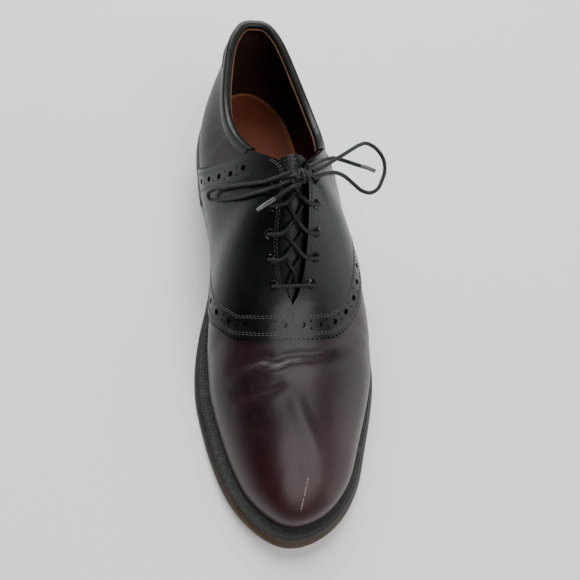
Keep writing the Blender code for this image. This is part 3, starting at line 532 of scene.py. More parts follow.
def stretchUvs(piece, across, up):
    layer = piece.data.uv_layers.active.data
    flat = np.empty(len(layer) * 2)
    layer.foreach_get("uv", flat)
    flat[0::2] *= across
    flat[1::2] *= up
    layer.foreach_set("uv", flat)


def tube(name, route, diameter, sides=14, spacing=lace["spacing"], closed=False, tip=0.85):
    # a round cord along a route; its map runs in millimetres along it
    points = smoothRoute(route, spacing) if not closed else np.array(route, dtype=float)
    count = len(points)
    along, side, over = turning(points)
    index = np.concatenate([[0], np.arange(count), [count - 1]])
    radius = np.full(count + 2, diameter / 2)
    radius[[1, -2]] *= 1 if closed else tip
    radius[[0, -1]] = 0

    def place(u, v):
        row = np.rint(u * (count + 1)).astype(int)
        turn = v[:, None] * 2 * math.pi
        spread = np.cos(turn) * side[index[row]] + np.sin(turn) * over[index[row]]
        return points[index[row]] + spread * radius[row][:, None]

    piece = gridPiece(name, count + 1, sides, place, recalc=True)
    stretchUvs(piece, lengths(points)[-1] * 1000, 1)
    softEdges(piece, 50)
    return piece


def joinPieces(name, pieces):
    deselect()
    for piece in pieces:
        piece.select_set(True)
    bpy.context.view_layer.objects.active = pieces[0]
    bpy.ops.object.join()
    pieces[0].name = name
    return pieces[0]


def lacePaint():
    # a waxed round braid: ribs cross both ways along the cord's own map; its colour is painted shade,
    # darker in the grooves between the ribs and lighter on their crests
    paint = Paint("waxedBraid", Specular_IOR_Level=0.3, Coat_Weight=0.08, Coat_Roughness=0.3)
    along, turn = paint.axis("X", "UV"), paint.axis("Y", "UV")
    left = (along * 4.6 + turn * 25.13).maths("SINE")
    right = (along * 4.6 - turn * 25.13).maths("SINE")
    weave = left.maths("MAXIMUM", right)
    fuzz = paint.noise(2600, 3.0)
    paint.bump((weave, 0.00022), (fuzz, 0.00008))
    # painted shade: the rib height sets the colour, dark in the grooves and light on the crests
    shade = paint.remap(weave, -0.6, 1.0)
    base = paint.blend(shade, colour(0.0012, 0.0017, 0.0016), colour(0.0060, 0.0085, 0.0076))
    worn = paint.remap(paint.noise(220, 2.0), 0.55, 0.75)
    paint.feed("Base Color", paint.blend(worn * 0.4, base, colour(0.016, 0.019, 0.016)))
    paint.feed("Roughness", paint.remap(fuzz, 0.3, 0.7, (0.36, 0.56)))
    return paint


def agletPaint():
    # a thin clear-grey film rolled on the tip
    paint = Paint("agletFilm", Coat_Weight=0.6)
    haze = paint.noise(700, 2.0)
    paint.feed("Base Color", paint.blend(haze, colour(0.035, 0.037, 0.034), colour(0.16, 0.16, 0.15)))
    paint.feed("Roughness", paint.remap(haze, 0.3, 0.7, (0.16, 0.34)))
    paint.bump((haze, 0.00006))
    return paint


waxedBraid = lacePaint()
agletFilm = agletPaint()
for side in ("Inner", "Outer"):
    route = lace["loop" + side]
    piece = tube("laceLoop" + side, route, lace["diameter"])
    dress(piece, waxedBraid, "lace_cord", "lace_loop_" + side.lower())
    points = smoothRoute(route, 0.004)
for side in ("Inner", "Outer"):
    tip = tube("aglet" + side, lace["aglet" + side], lace["aglet"], spacing=0.0012, tip=0.92)
    dress(tip, agletFilm, "aglet_film", "aglet_" + side.lower())
    inside = lace["aglet" + side]
    last = tuple(np.array(inside[-1]) * 0.97 + np.array(inside[-2]) * 0.03)
    route = lace["end" + side][:-1] + (inside[0],) + inside[1:-1] + (last,)
    piece = tube("laceEnd" + side, route, lace["diameter"])
    dress(piece, waxedBraid, "lace_cord", "lace_end_" + side.lower())
    points = smoothRoute(route, 0.003)
print("saddle shoe: free laces")

# sole, welt, heel and insole

sole = {
    "around": 300,
    "outsole": ((0.0, 0.0030, 0.0), (0.0, 0.0012, 0.0), (0.0, 0.0004, 0.0004), (0.0, 0.0, 0.0012),
                (0.02, 0.0, 0.0022), (0.05, 0.0, 0.0030), (0.18, 0.0, 0.0040), (0.30, 0.0, 0.0048),
                (0.33, 0.0, 0.0050), (0.45, 0.0, 0.0050)),
    "welt": ((1.0, 0.0026, 0.0053), (0.40, 0.0, 0.0053), (0.36, 0.0, 0.0058), (0.355, 0.0, 0.0070),
             (0.37, 0.0, 0.0080), (0.41, 0.0, 0.0086), (0.47, 0.0, 0.0088), (0.60, 0.0, 0.0089),
             (0.78, 0.0, 0.0087), (0.90, 0.0, 0.0088), (1.0, 0.0026, 0.0088), (1.0, 0.0026, 0.0053)),
    "insole": ((1.0, 0.0060, 0.0053), (1.0, 0.0029, 0.0053), (1.0, 0.0029, 0.0095),
               (1.0, 0.0031, 0.0104), (1.0, 0.0037, 0.0109), (1.0, 0.0060, 0.0109)),
    "stack": ((0.0060, 0.0063), (0.0022, 0.0063), (0.0018, 0.0120), (0.0016, 0.0180), (0.0011, 0.0247),
              (0.0060, 0.0247)),
    "lift": ((0.0060, 0.0), (0.0030, 0.0), (0.0023, 0.0007), (0.0021, 0.0030), (0.0020, 0.0060),
             (0.0060, 0.0060)),
}


def soleRing(angles, reach, inset, lift):
    plan, _ = insetEdge(angles, reach, inset)
    return np.column_stack([plan, underside(plan[:, 1]) + lift])


def loft(name, angles, rings, solid=True):
    # rings of points, bottom first; a solid one closes across its bottom and top
    rows = list(rings)
    if solid:
        rows = [(rows[0] + rows[0][::-1]) / 2] + rows + [(rows[-1] + rows[-1][::-1]) / 2]
    table = np.stack(rows)

    def place(u, v):
        return table[np.rint(u * (len(rows) - 1)).astype(int), np.rint(v * (len(angles) - 1)).astype(int)]

    return gridPiece(name, len(rows) - 1, len(angles) - 1, place, recalc=True)


def closeBreast(piece):
    activate(piece)
    bpy.ops.object.mode_set(mode="EDIT")
    bpy.ops.mesh.select_mode(type="EDGE")
    bpy.ops.mesh.select_all(action="DESELECT")
    bpy.ops.mesh.select_non_manifold(extend=False)
    bpy.ops.mesh.fill_holes(sides=0)
    bpy.ops.mesh.select_all(action="SELECT")
    bpy.ops.mesh.normals_make_consistent(inside=False)
    bpy.ops.object.mode_set(mode="OBJECT")


def ringPiece(name, rings, solid=True):
    angles = np.linspace(-math.pi, math.pi, sole["around"] + 1)
    return loft(name, angles, [soleRing(angles, *ring) for ring in rings], solid)


def heelRing(inset, z):
    breast = float(angleAt(shoe["breast"] / shoe["length"]))
    plan, _ = insetEdge(np.linspace(-breast, breast, 141), 0.0, inset)
    return np.column_stack([plan, np.full(len(plan), z)])


def sidePaint(name, dark, light, rough, layers=0.0, toe=None, rim=None):
    # edge finishes of the sole: burnished, a little rubbed, with the leather's own layers
    paint = Paint(name)
    streaks = paint.noise(60, 4.0, stretch=(1, 1, 9))
    patches = paint.noise(45, 3.0)
    base = paint.blend(paint.remap(streaks * 0.6 + patches * 0.4, 0.35, 0.68), dark, light)
    if toe:
        front = paint.remap(paint.axis("Y") * -1.0, 0.205, 0.262)
        inner = paint.remap(paint.axis("X") * -1.0, -0.035, 0.005)
        base = paint.blend(front * (0.35 + inner * 0.65), base, toe)
    if rim:
        base = paint.blend(paint.remap(paint.axis("X", "UV"), 0.80, 0.88, (0.8, 0)), base, rim)
    specks = paint.remap(paint.noise(900, 2.0), 0.60, 0.74)
    paint.feed("Base Color", paint.blend(specks * 0.35, base, colour(0.10, 0.095, 0.08)))
    paint.feed("Roughness", paint.remap(patches, 0.3, 0.7, rough))
    fine = paint.noise(1400, 3.0)
    if layers:
        rings = (paint.axis("Z") * layers).maths("SINE")
        paint.bump((rings, 0.00025), (streaks, 0.00025), (fine, 0.00006))
    else:
        paint.bump((streaks, 0.0003), (fine, 0.0001))
    return paint


outsole = ringPiece("leatherOutsole", sole["outsole"])
softEdges(outsole, 40)
burnishedSole = sidePaint("burnishedSole", colour(0.008, 0.0075, 0.007), colour(0.024, 0.022, 0.020),
                          (0.40, 0.66), toe=colour(0.060, 0.033, 0.017))
dress(outsole, burnishedSole, "sole_edge", "outsole")
weltStrip = ringPiece("weltStrip", sole["welt"], solid=False)
softEdges(weltStrip, 40)


def weltPaint():
    # rough dyed leather with the wheel's close marks
    paint = Paint("dyedWelt")
    grain = paint.noise(420, 5.0, 0.7)
    coarse = paint.noise(130, 3.0)
    ribs = (paint.axis("Y", "UV") * 3.9 + coarse * 5.0).maths("SINE")
    base = paint.blend(paint.remap(grain, 0.40, 0.66), colour(0.003, 0.003, 0.0035),
                       colour(0.014, 0.015, 0.014))
    worn = paint.remap(coarse, 0.58, 0.72) * 0.5
    paint.feed("Base Color", paint.blend(worn, base, colour(0.040, 0.040, 0.036)))
    paint.feed("Roughness", paint.remap(grain, 0.3, 0.7, (0.45, 0.78)))
    paint.bump((ribs, 0.00006), (coarse, 0.0006), (grain, 0.0005), (paint.noise(1800, 2.0), 0.0001))
    return paint


dyedWelt = weltPaint()
stretchUvs(weltStrip, 1, 720)
dress(weltStrip, dyedWelt, "welt_leather", "welt")
innerSole = ringPiece("innerSole", sole["insole"])
softEdges(innerSole, 40)
insoleLeather = sidePaint("insoleLeather", colour(0.115, 0.021, 0.005), colour(0.200, 0.040, 0.011),
                          (0.7, 0.85), rim=colour(0.34, 0.13, 0.055))
dress(innerSole, insoleLeather, "insole_leather", "insole")
heelStack = loft("heelStack", range(141), [heelRing(*ring) for ring in sole["stack"]])
closeBreast(heelStack)
softEdges(heelStack, 40)
stackedHeel = sidePaint("stackedHeel", colour(0.011, 0.010, 0.010), colour(0.030, 0.023, 0.019),
                        (0.28, 0.5), layers=1500.0)
dress(heelStack, stackedHeel, "heel_leather", "heel_stack")
topLift = loft("topLift", range(141), [heelRing(*ring) for ring in sole["lift"]])
closeBreast(topLift)
softEdges(topLift, 40)


def rubberPaint():
    paint = Paint("heelRubber")
    dust = paint.noise(160, 4.0)
    paint.feed("Base Color", paint.blend(dust, colour(0.010, 0.010, 0.010), colour(0.028, 0.027, 0.026)))
    paint.feed("Roughness", paint.remap(dust, 0.3, 0.7, (0.65, 0.88)))
    paint.bump((dust, 0.0003), (paint.noise(1500, 2.0), 0.0001))
    return paint


dress(topLift, rubberPaint(), "heel_rubber", "top_lift")
print("saddle shoe: sole, welt and heel")

# leathers

# the vamp's rear colour is painted shade, laid over the quarters towards the heel
leather = {
    "vampDark": colour(0.0060, 0.0010, 0.0026), "vampLight": colour(0.0165, 0.0030, 0.0072),
    "vampToe": colour(0.0250, 0.0020, 0.0036), "vampRearShade": colour(0.0022, 0.0006, 0.0010),
    "black": colour(0.0009, 0.0009, 0.0010), "blackLight": colour(0.0028, 0.0029, 0.0033),
    "bindDark": colour(0.0020, 0.0022, 0.0020), "bindLight": colour(0.0080, 0.0086, 0.0078),
    "lining": colour(0.022, 0.010, 0.009), "liningLight": colour(0.050, 0.024, 0.019),
    "tanDark": colour(0.09, 0.042, 0.020), "tan": colour(0.20, 0.105, 0.052),
    "rubbed": colour(0.07, 0.055, 0.055), "scratch": colour(0.42, 0.33, 0.33),
}


def leatherPaint(name, dark, light, rough, coat=0.35, grain=1.0, soft=0.18, scuffs=0.4, toe=None,
                 under=None):
    # polished calf: soft patches under the polish, fine pebbled grain, faint scuffs
    paint = Paint(name, Coat_Roughness=soft, Specular_IOR_Level=0.22)
    patches = paint.noise(26, 3.0)
    mottle = paint.noise(190, 4.0, 0.6)
    base = paint.blend(paint.remap(patches * 0.65 + mottle * 0.35, 0.38, 0.64), dark, light)
    if toe:
        front = paint.remap(paint.axis("Y") * -1.0, 0.196, 0.245)
        base = paint.blend(front * 0.85, base, toe)
        # painted shade: the vamp and quarters darken towards the heel
        rear = paint.remap(paint.axis("Y"), -0.110, -0.030)
        base = paint.blend(rear, base, leather["vampRearShade"])
    scratch = paint.noise(70, 5.0, 0.8, stretch=(6, 0.7, 2), turn=(0, 0, 0.4))
    rubbed = paint.remap(scratch, 0.64, 0.72) * scuffs
    base = paint.blend(rubbed, base, leather["rubbed"])
    layers = []
    if toe:
        # one long scratch on the toe and the fine wrinkles of the folds
        x, y = paint.axis("X"), paint.axis("Y")
        wobble = paint.noise(140, 2.0) * 0.0016 - 0.0008
        away = (x * 0.948 + y * -0.318 + wobble - 0.0824).maths("ABSOLUTE")
        along = (x * 0.318 + y * 0.948 + 0.2284).maths("ABSOLUTE")
        thin = paint.remap(away, 0.00007, 0.00026, (1, 0)) * paint.remap(along, 0.0080, 0.0095, (1, 0))
        base = paint.blend(thin * paint.remap(paint.noise(900), 0.40, 0.55), base, leather["scratch"])
        folds = paint.attribute("fold")
        wrinkles = paint.noise(150, 2.0, 0.45, stretch=(1.0, 4.5, 1.0), turn=(0, 0, -0.12))
        layers = [(wrinkles * folds, 0.00045), (1 - thin, 0.00008)]
    if under:
        base = paint.blend(paint.attribute("covered"), base, under)
    paint.feed("Base Color", base)
    pores = paint.remap(paint.cells(1500, "F1"), 0.0, 0.55)
    pebble = paint.cells(900, "SMOOTH_F1")
    paint.feed("Roughness", paint.remap(mottle * 0.5 + patches * 0.5, 0.35, 0.65, rough) + rubbed * 0.2)
    polish = paint.remap(patches, 0.3, 0.7, (coat * 0.8, coat)) - rubbed * 0.2
    # the painted shade towards the heel also thins the polish there
    if toe:
        polish = polish * (1 - rear * 0.75)
    paint.feed("Coat Weight", polish)
    paint.bump((patches, 0.0003 * grain), *layers, (mottle, 0.00012 * grain), (pebble, 0.00005 * grain),
               (pores, 0.00002 * grain))
    return paint


burgundy = leatherPaint("burgundyCalf", leather["vampDark"], leather["vampLight"], (0.38, 0.50),
                        coat=0.45, toe=leather["vampToe"], under=leather["black"], soft=0.30)
blackCalf = leatherPaint("blackCalf", leather["black"], leather["blackLight"], (0.30, 0.42),
                         coat=0.30, soft=0.22)
backCalf = leatherPaint("backstayCalf", leather["black"], leather["blackLight"], (0.28, 0.40), coat=0.35)
tongueCalf = leatherPaint("tongueCalf", leather["black"], leather["blackLight"], (0.34, 0.48),
                          coat=0.06, grain=1.6)
bindingCalf = leatherPaint("bindingCalf", leather["bindDark"], leather["bindLight"], (0.34, 0.46),
                           coat=0.15, grain=1.5, scuffs=0.2)
liningCalf = leatherPaint("liningCalf", leather["lining"], leather["liningLight"], (0.45, 0.6), coat=0.0,
                          grain=1.3, under=leather["black"])
tanEdge = leatherPaint("tanEdge", leather["tanDark"], leather["tan"], (0.5, 0.7), coat=0.0, scuffs=0.2)


def threadPaint():
    paint = Paint("waxedThread", Roughness=0.5)
    twist = paint.noise(2400, 2.0)
    paint.feed("Base Color", paint.blend(twist, colour(0.012, 0.012, 0.012), colour(0.055, 0.056, 0.053)))
    paint.bump((twist, 0.0001))
    return paint


waxedThread = threadPaint()

# vamp and quarters

upperForm = {
    "around": 440, "up": 84,
    # creases: half width, depth, wrinkles, then side, station share and height of each point
    "creases": (
        (0.0032, 0.0013, 1.0, ((-1, .703, .46), (-1, .711, .61), (-1, .719, .73), (-1, .723, .81),
                               (-1, .735, .89), (-1, .735, .98), (1, .727, .90), (1, .695, .69),
                               (1, .655, .39))),
        (0.0030, 0.0006, 1.0, ((-1, .750, .48), (-1, .772, .68), (-1, .776, .75), (-1, .780, .83),
                               (-1, .776, .95))),
        (0.0016, 0.0003, 0.8, ((-1, .712, .50), (-1, .735, .66), (-1, .742, .80), (-1, .748, .95))),
    ),
    # the long soft ridge towards the toe: across and from the heel
    "ridge": ((0.000, 0.212), (0.002, 0.218), (0.0074, 0.236), (0.0130, 0.252), (0.0156, 0.264)),
    "ridgeHeight": 0.0007, "ridgeWidth": 0.0045,
}


def creaseLine(places):
    points = [wall(np.array([side * float(angleAt(share))]), height)[0] for side, share, height in places]
    return smoothRoute(points, 0.0006)


def creaseDepth(points, angles, heights):
    # how far each point sinks, or stands proud beside a crease, and how wrinkled it is
    edge = np.where(angles < 0, saddleEdge("medialFront", heights), saddleEdge("lateralFront", heights))
    ahead = np.clip((np.abs(angles) - edge - 0.010) / 0.05, 0, 1)
    sink = np.zeros(len(points))
    folds = np.zeros(len(points))
    for width, depth, wrinkled, places in upperForm["creases"]:
        line = creaseLine(places)
        share = np.linspace(0, 1, len(line))
        near = np.full(len(points), 9.0)
        fade = np.zeros(len(points))
        front = np.zeros(len(points))
        for i, spot in enumerate(line):
            away = np.linalg.norm(points - spot, axis=1)
            closer = away < near
            near[closer] = away[closer]
            fade[closer] = min(1.0, 7 * share[i], 7 * (1 - share[i]))
            front[closer] = np.sign(spot[1] - points[closer, 1])
        # a soft trough with its ridge on the toe's side
        trough = np.exp(-(near / width) ** 2)
        ridge = np.exp(-((near - 1.9 * width) / (1.5 * width)) ** 2)
        sink += depth * fade * (trough - np.where(front > 0, 0.6, 0.1) * ridge)
        folds = np.maximum(folds, wrinkled * fade * np.exp(-(near / (1.6 * width)) ** 2))
    across, station = np.array(upperForm["ridge"]).T
    line = smoothRoute(np.column_stack([across, shoe["heelFace"] - station, np.zeros(len(across))]), 0.001)
    share = np.linspace(0, 1, len(line))
    near = np.linalg.norm(points[:, None, :2] - line[None, :, :2], axis=2)
    nearest = near.argmin(axis=1)
    fade = np.clip(np.minimum(3 * share, 3 * (1 - share)), 0, 1)[nearest]
    sink -= upperForm["ridgeHeight"] * fade * np.exp(-(near.min(axis=1) / upperForm["ridgeWidth"]) ** 2)
    return sink * ahead, folds * ahead


def upperMarks(v, u):
    # the creases and their wrinkles, what the saddle covers, and the ridge that is smoothed
    angles = (u * 2 - 1) * math.pi
    away = np.abs(angles)
    sink, folds = np.zeros(len(angles)), np.zeros(len(angles))
    toeward = away > float(angleAt(0.62))
    turned, high = angles[toeward], v[toeward]
    sink[toeward], folds[toeward] = creaseDepth(wall(turned, high), turned, high)
    rear = np.where(angles < 0, saddleEdge("medialRear", v), saddleEdge("lateralRear", v))
    front = np.where(angles < 0, saddleEdge("medialFront", v), saddleEdge("lateralFront", v))
    covered = np.clip((front - away - 0.012) / 0.012, 0, 1) * np.clip((away - rear - 0.012) / 0.012, 0, 1)
    crest = np.clip((v - 0.86) / 0.08, 0, 1) * (away > float(angleAt(0.66)))
    return {"sink": sink, "fold": folds, "covered": covered,
            "crest": np.maximum(crest, (v > 0.55) & (away > 2.82))}


def pointValues(mesh, mark):
    values = np.empty(len(mesh.vertices))
    mesh.attributes[mark].data.foreach_get("value", values)
    return values


def smoothCrest(piece, times):
    activate(piece)
    bpy.ops.object.mode_set(mode="EDIT")
    bpy.ops.mesh.select_mode(type="VERT")
    bpy.ops.mesh.select_all(action="DESELECT")
    bpy.ops.object.mode_set(mode="OBJECT")
    crest = pointValues(piece.data, "crest")
    piece.data.vertices.foreach_set("select", crest > 0.5)
    bpy.ops.object.mode_set(mode="EDIT")
    bpy.ops.mesh.vertices_smooth(factor=0.5, repeat=times)
    bpy.ops.object.mode_set(mode="OBJECT")


def pressCreases(piece):
    mesh = piece.data
    corners, facing = np.empty(len(mesh.vertices) * 3), np.empty(len(mesh.vertices) * 3)
    mesh.vertices.foreach_get("co", corners)
    mesh.vertex_normals.foreach_get("vector", facing)
    mesh.vertices.foreach_set("co", corners - facing * np.repeat(pointValues(mesh, "sink"), 3))
    mesh.update()


upper = gridPiece("vampAndQuarters", upperForm["up"], upperForm["around"],
                  lambda v, u: wall((u * 2 - 1) * math.pi, v), marks=upperMarks)
smoothCrest(upper, 22)
pressCreases(upper)
upper.data.materials.append(burgundy.material)
upper.data.materials.append(liningCalf.material)
solid = upper.modifiers.new("thickness", "SOLIDIFY")
solid.thickness = shoe["wall"]
solid.offset = -1
solid.material_offset = 1
solid.material_offset_rim = 1
applyAll(upper)
softEdges(upper, 60)
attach(upper, "root")
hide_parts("upper")
print("saddle shoe: vamp and quarters")

# saddle

saddle = {
    "rows": 88, "columns": 72, "tooth": 0.0017, "root": 0.0016, "foot": 0.025,
    "holeLine": 0.0080, "holePitch": 0.0103, "hole": 0.00175, "pin": 0.0006, "pinStep": 0.0021,
    "stitchLines": (0.0026, 0.0038, 0.0122, 0.0134), "facingLines": (0.0020, 0.0033),
    "tack": 0.6485, "tackReach": 0.962, "tackSteps": (0.0, 0.0016), "seam": (0.652, 0.672),
}
stitch = {"long": 0.0019, "wide": 0.00052, "high": 0.00042, "pitch": 0.0023, "proud": 0.00012}
saddleFace = shoe["gap"] + shoe["saddle"]


def evenHeights(side, edge, count, low, high=1.0):
    # heights whose places along an edge of the saddle are evenly apart
    fine = np.linspace(low, high, 900)
    walked = lengths(wall(side * saddleEdge(edge, fine), fine))
    return np.interp(np.linspace(0, walked[-1], count), walked, fine)


def panelWidths(heights):
    widths = []
    for side, name in ((-1, "medial"), (1, "lateral")):
        rear, front = saddleEdge(name + "Rear", heights), saddleEdge(name + "Front", heights)
        path = [wall(side * (rear + (front - rear) * t), heights) for t in np.linspace(0, 1, 25)]
        widths.append(np.linalg.norm(np.diff(np.stack(path), axis=0), axis=2).sum(axis=0))
    return (widths[0] + widths[1]) / 2


def saddleSide(side, name):
    rows, columns = saddle["rows"], saddle["columns"]
    heights = evenHeights(side, name + "Front", rows + 1, saddle["foot"])
    rear, front = saddleEdge(name + "Rear", heights), saddleEdge(name + "Front", heights)
    widths = panelWidths(heights)
    teeth = saddle["tooth"] / 2 * (-1.0) ** np.arange(rows + 1)
    teeth[-1] = 0

    def place(u, v):
        row = np.rint(u * rows).astype(int)
        column = np.rint((v if side > 0 else 1 - v) * columns).astype(int)
        root = saddle["root"] / widths[row]
        share = root + (1 - 2 * root) * (column - 1) / (columns - 2)
        share = np.where(column == 0, teeth[row] / widths[row], share)
        share = np.where(column == columns, 1 - teeth[row] / widths[row], share)
        angles = side * (rear[row] + (front[row] - rear[row]) * share)
        return wall(angles, heights[row]) + facingOut(angles, heights[row]) * shoe["gap"]

    return gridPiece("saddle" + name, rows, columns, place)


def bandLine(side, edge, distance, low=0.03, count=260, high=1.0):
    # a line over the wall at a distance inside an edge of the saddle
    heights = evenHeights(side, edge, count, low, high)
    angles = side * saddleEdge(edge, heights)
    points = wall(angles, heights)
    normal = wallFrame(angles, heights)[2]
    inward = np.cross(normal, np.gradient(points, axis=0))
    within = wall(angles * (0.97 if edge.endswith("Front") else 1.03), heights)
    inward *= np.sign(dot(inward, within - points))[:, None]
    return walk(angles, heights, inward / np.linalg.norm(inward, axis=1)[:, None], distance)


def spots(angles, heights, pitch, offset=0.0):
    # centres, directions and normals at an even pitch along a line on the wall
    points = skin(angles, heights, offset)
    walked = lengths(points)
    count = max(1, int(walked[-1] / pitch))
    places = (np.arange(count) + 0.5) * walked[-1] / count
    normal = wallFrame(angles, heights)[2]
    centre = np.stack([np.interp(places, walked, points[:, i]) for i in range(3)], axis=1)
    facing = np.stack([np.interp(places, walked, normal[:, i]) for i in range(3)], axis=1)
    ahead = np.gradient(points, axis=0)
    ahead = np.stack([np.interp(places, walked, ahead[:, i]) for i in range(3)], axis=1)
    return settle(centre, ahead, facing)


def settle(centre, ahead, facing):
    facing = facing / np.linalg.norm(facing, axis=1)[:, None]
    ahead = ahead - facing * dot(ahead, facing)[:, None]
    ahead /= np.linalg.norm(ahead, axis=1)[:, None]
    return centre, ahead, facing


def scatter(name, template, places):
    # copies of one small mesh, its X along each direction and its Z along each normal
    mesh = template.data
    corners = np.empty(len(mesh.vertices) * 3)
    mesh.vertices.foreach_get("co", corners)
    corners = corners.reshape(-1, 3)
    faces = [list(face.vertices) for face in mesh.polygons]
    centre, ahead, facing = (np.concatenate(part) for part in zip(*places))
    across = np.cross(facing, ahead)
    points = (centre[:, None] + corners[None, :, 0:1] * ahead[:, None]
              + corners[None, :, 1:2] * across[:, None] + corners[None, :, 2:3] * facing[:, None])
    allFaces = [[corner + i * len(corners) for corner in face]
                for i in range(len(centre)) for face in faces]
    made = bpy.data.meshes.new(name)
    made.from_pydata(points.reshape(-1, 3), [], allFaces)
    made.update()
    piece = bpy.data.objects.new(name, made)
    bpy.context.scene.collection.objects.link(piece)
    bpy.data.objects.remove(template, do_unlink=True)
    softEdges(piece, 60)
    return piece


def stitchShape(long=stitch["long"], wide=stitch["wide"], high=stitch["high"]):
    deselect()
    bpy.ops.mesh.primitive_uv_sphere_add(segments=6, ring_count=4, radius=0.5)
    bead = bpy.context.object
    bpy.ops.object.mode_set(mode="EDIT")
    bpy.ops.transform.rotate(value=math.pi / 2, orient_axis="Y", center_override=(0, 0, 0))
    bpy.ops.transform.resize(value=(long, wide, high))
    bpy.ops.object.mode_set(mode="OBJECT")
    return bead


def pegShape(radius, depth, corners):
    deselect()
    bpy.ops.mesh.primitive_cylinder_add(vertices=corners, radius=radius, depth=depth)
    return bpy.context.object


halves = [saddleSide(-1, "medial"), saddleSide(1, "lateral")]
saddlePiece = joinPieces("blackSaddle", halves)
activate(saddlePiece)
bpy.ops.object.mode_set(mode="EDIT")
bpy.ops.mesh.select_all(action="SELECT")
bpy.ops.mesh.remove_doubles(threshold=0.00002)
bpy.ops.object.mode_set(mode="OBJECT")
thicken(saddlePiece, shoe["saddle"], outwards=True)

eyeletSpots = []
for side in (-1, 1):
    for share in lace["eyelets"]:
        angle = side * float(angleAt(share))
        fine = np.linspace(1, 0.7, 61)
        height = np.interp(lace["inset"], lengths(wall(np.full(61, angle), fine)), fine)
        place = (np.array([angle]), np.array([height]))
        eyeletSpots.append((wall(*place)[0], wallFrame(*place)[2][0]))

bigHoles, pinHoles, stitchPlaces = [], [], []
for side, name in ((-1, "medial"), (1, "lateral")):
    for edge in (name + "Front", name + "Rear"):
        high = 1.0 if edge.endswith("Front") else 0.97
        angles, heights = bandLine(side, edge, saddle["holeLine"], high=high)
        centre, ahead, facing = spots(angles, heights, saddle["holePitch"])
        bigHoles.append((centre, ahead, facing))
        across = np.cross(facing, ahead)
        between = (centre[1:] + centre[:-1]) / 2
        for step in (-saddle["pinStep"], saddle["pinStep"]):
            pinHoles.append((between + (across[1:] + across[:-1]) / 2 * step, ahead[1:], facing[1:]))
        for distance in saddle["stitchLines"]:
            line = bandLine(side, edge, distance, high=high - (0.0 if edge.endswith("Front") else 0.01))
            stitchPlaces.append(spots(*line, stitch["pitch"], saddleFace + stitch["proud"]))
cutters = [scatter("bigHoles", pegShape(saddle["hole"], 0.008, 16), bigHoles),
           scatter("pinHoles", pegShape(saddle["pin"], 0.008, 8), pinHoles)]
barrels = [(np.array([p]), np.array([(0.0, 1.0, 0.0)]) - n * n[1], np.array([n])) for p, n in eyeletSpots]
barrels = [settle(*barrel) for barrel in barrels]
cutters.append(scatter("eyeletHoles", pegShape(0.0021, 0.008, 16), barrels))
for cutter in cutters:
    hole = saddlePiece.modifiers.new("holes", "BOOLEAN")
    hole.object = cutter
    hole.solver = "EXACT"
    hole.operation = "DIFFERENCE"
applyAll(saddlePiece)
for cutter in cutters:
    bpy.data.objects.remove(cutter, do_unlink=True)
softEdges(saddlePiece, 38)
dress(saddlePiece, blackCalf, "saddle_leather", "saddle")
print("saddle shoe: saddle")


def throatLine(side, distance):
    # a line beside the throat's edge, down to its end
    shares = np.linspace(0.40, 0.640, 200)
    angles = side * angleAt(shares)
    fine = np.linspace(1, 0.4, 200)
    heights = []
    for angle in angles:
        heights.append(np.interp(distance, lengths(wall(np.full(200, angle), fine)), fine))
    return angles, np.array(heights)


for side in (-1, 1):
    for distance in saddle["facingLines"]:
        line = throatLine(side, distance)
        stitchPlaces.append(spots(*line, stitch["pitch"], saddleFace + stitch["proud"]))
# the tack across the throat's end, and the short seam from it to the band
tackAngle = float(angleAt(saddle["tack"]))
tackTurns = np.repeat([-tackAngle, tackAngle], 30)
tackRise = np.linspace(saddle["tackReach"], 1, 30)
tackHeights = np.concatenate([tackRise, tackRise[::-1]])
for back in saddle["tackSteps"]:
    turned = tackTurns + np.sign(tackTurns) * back
    stitchPlaces.append(spots(turned, tackHeights, 0.0019, saddleFace + 0.00016))
seam = angleAt(np.linspace(*saddle["seam"], 40))
stitchPlaces.append(spots(seam, np.full(40, 0.9995), 0.0021, saddleFace + stitch["proud"]))
seams = scatter("saddleStitches", stitchShape(), stitchPlaces)
dress(seams, waxedThread, "saddle_leather")

# the seam that runs round the welt, from the breast to the toe and back
weltSeam = {
    "start": 0.95, "reach": 0.58, "lift": 0.0090, "pitch": 0.0030, "stitch": (0.0025, 0.0006, 0.0005),
}
weltTurns = np.linspace(weltSeam["start"], 2 * math.pi - weltSeam["start"], 2400)
weltLine = soleRing(weltTurns, weltSeam["reach"], 0.0, weltSeam["lift"])
walked = lengths(weltLine)
places = np.arange(weltSeam["pitch"] / 2, walked[-1], weltSeam["pitch"])
centre, ahead = (np.stack([np.interp(places, walked, part[:, i]) for i in range(3)], axis=1)
                 for part in (weltLine, np.gradient(weltLine, axis=0)))
weltSpots = settle(centre, ahead, np.tile((0.0, 0.0, 1.0), (len(places), 1)))
weltStitches = scatter("weltStitches", stitchShape(*weltSeam["stitch"]), [weltSpots])
dress(weltStitches, waxedThread, "welt_leather")
print("saddle shoe: stitches")

# backstay, collar and tongue

trim = {"backRows": 60, "backColumns": 60, "backWall": 0.0012, "bindingStep": 300,
        "tongueTop": 0.456, "tongueFoot": 0.680, "tongueRise": 0.015, "tongueSlope": 0.15,
        "tongueTaper": (0.86, 0.70, 0.58), "tongueHeights": (0.76, 0.82, 0.88, 0.93, 0.97),
        "tongueWall": 0.0022, "tongueGap": 0.0011, "tongueArch": 0.0008}


def backReach(heights):
    return angleAt(np.clip(smooth(backstayTable[:, 0], backstayTable[:, 1], heights), 0.0004, 1))


def backPlace(u, v):
    heights = 0.02 + 0.88 * u
    return skin((v * 2 - 1) * backReach(heights), heights, 2 * shoe["gap"])


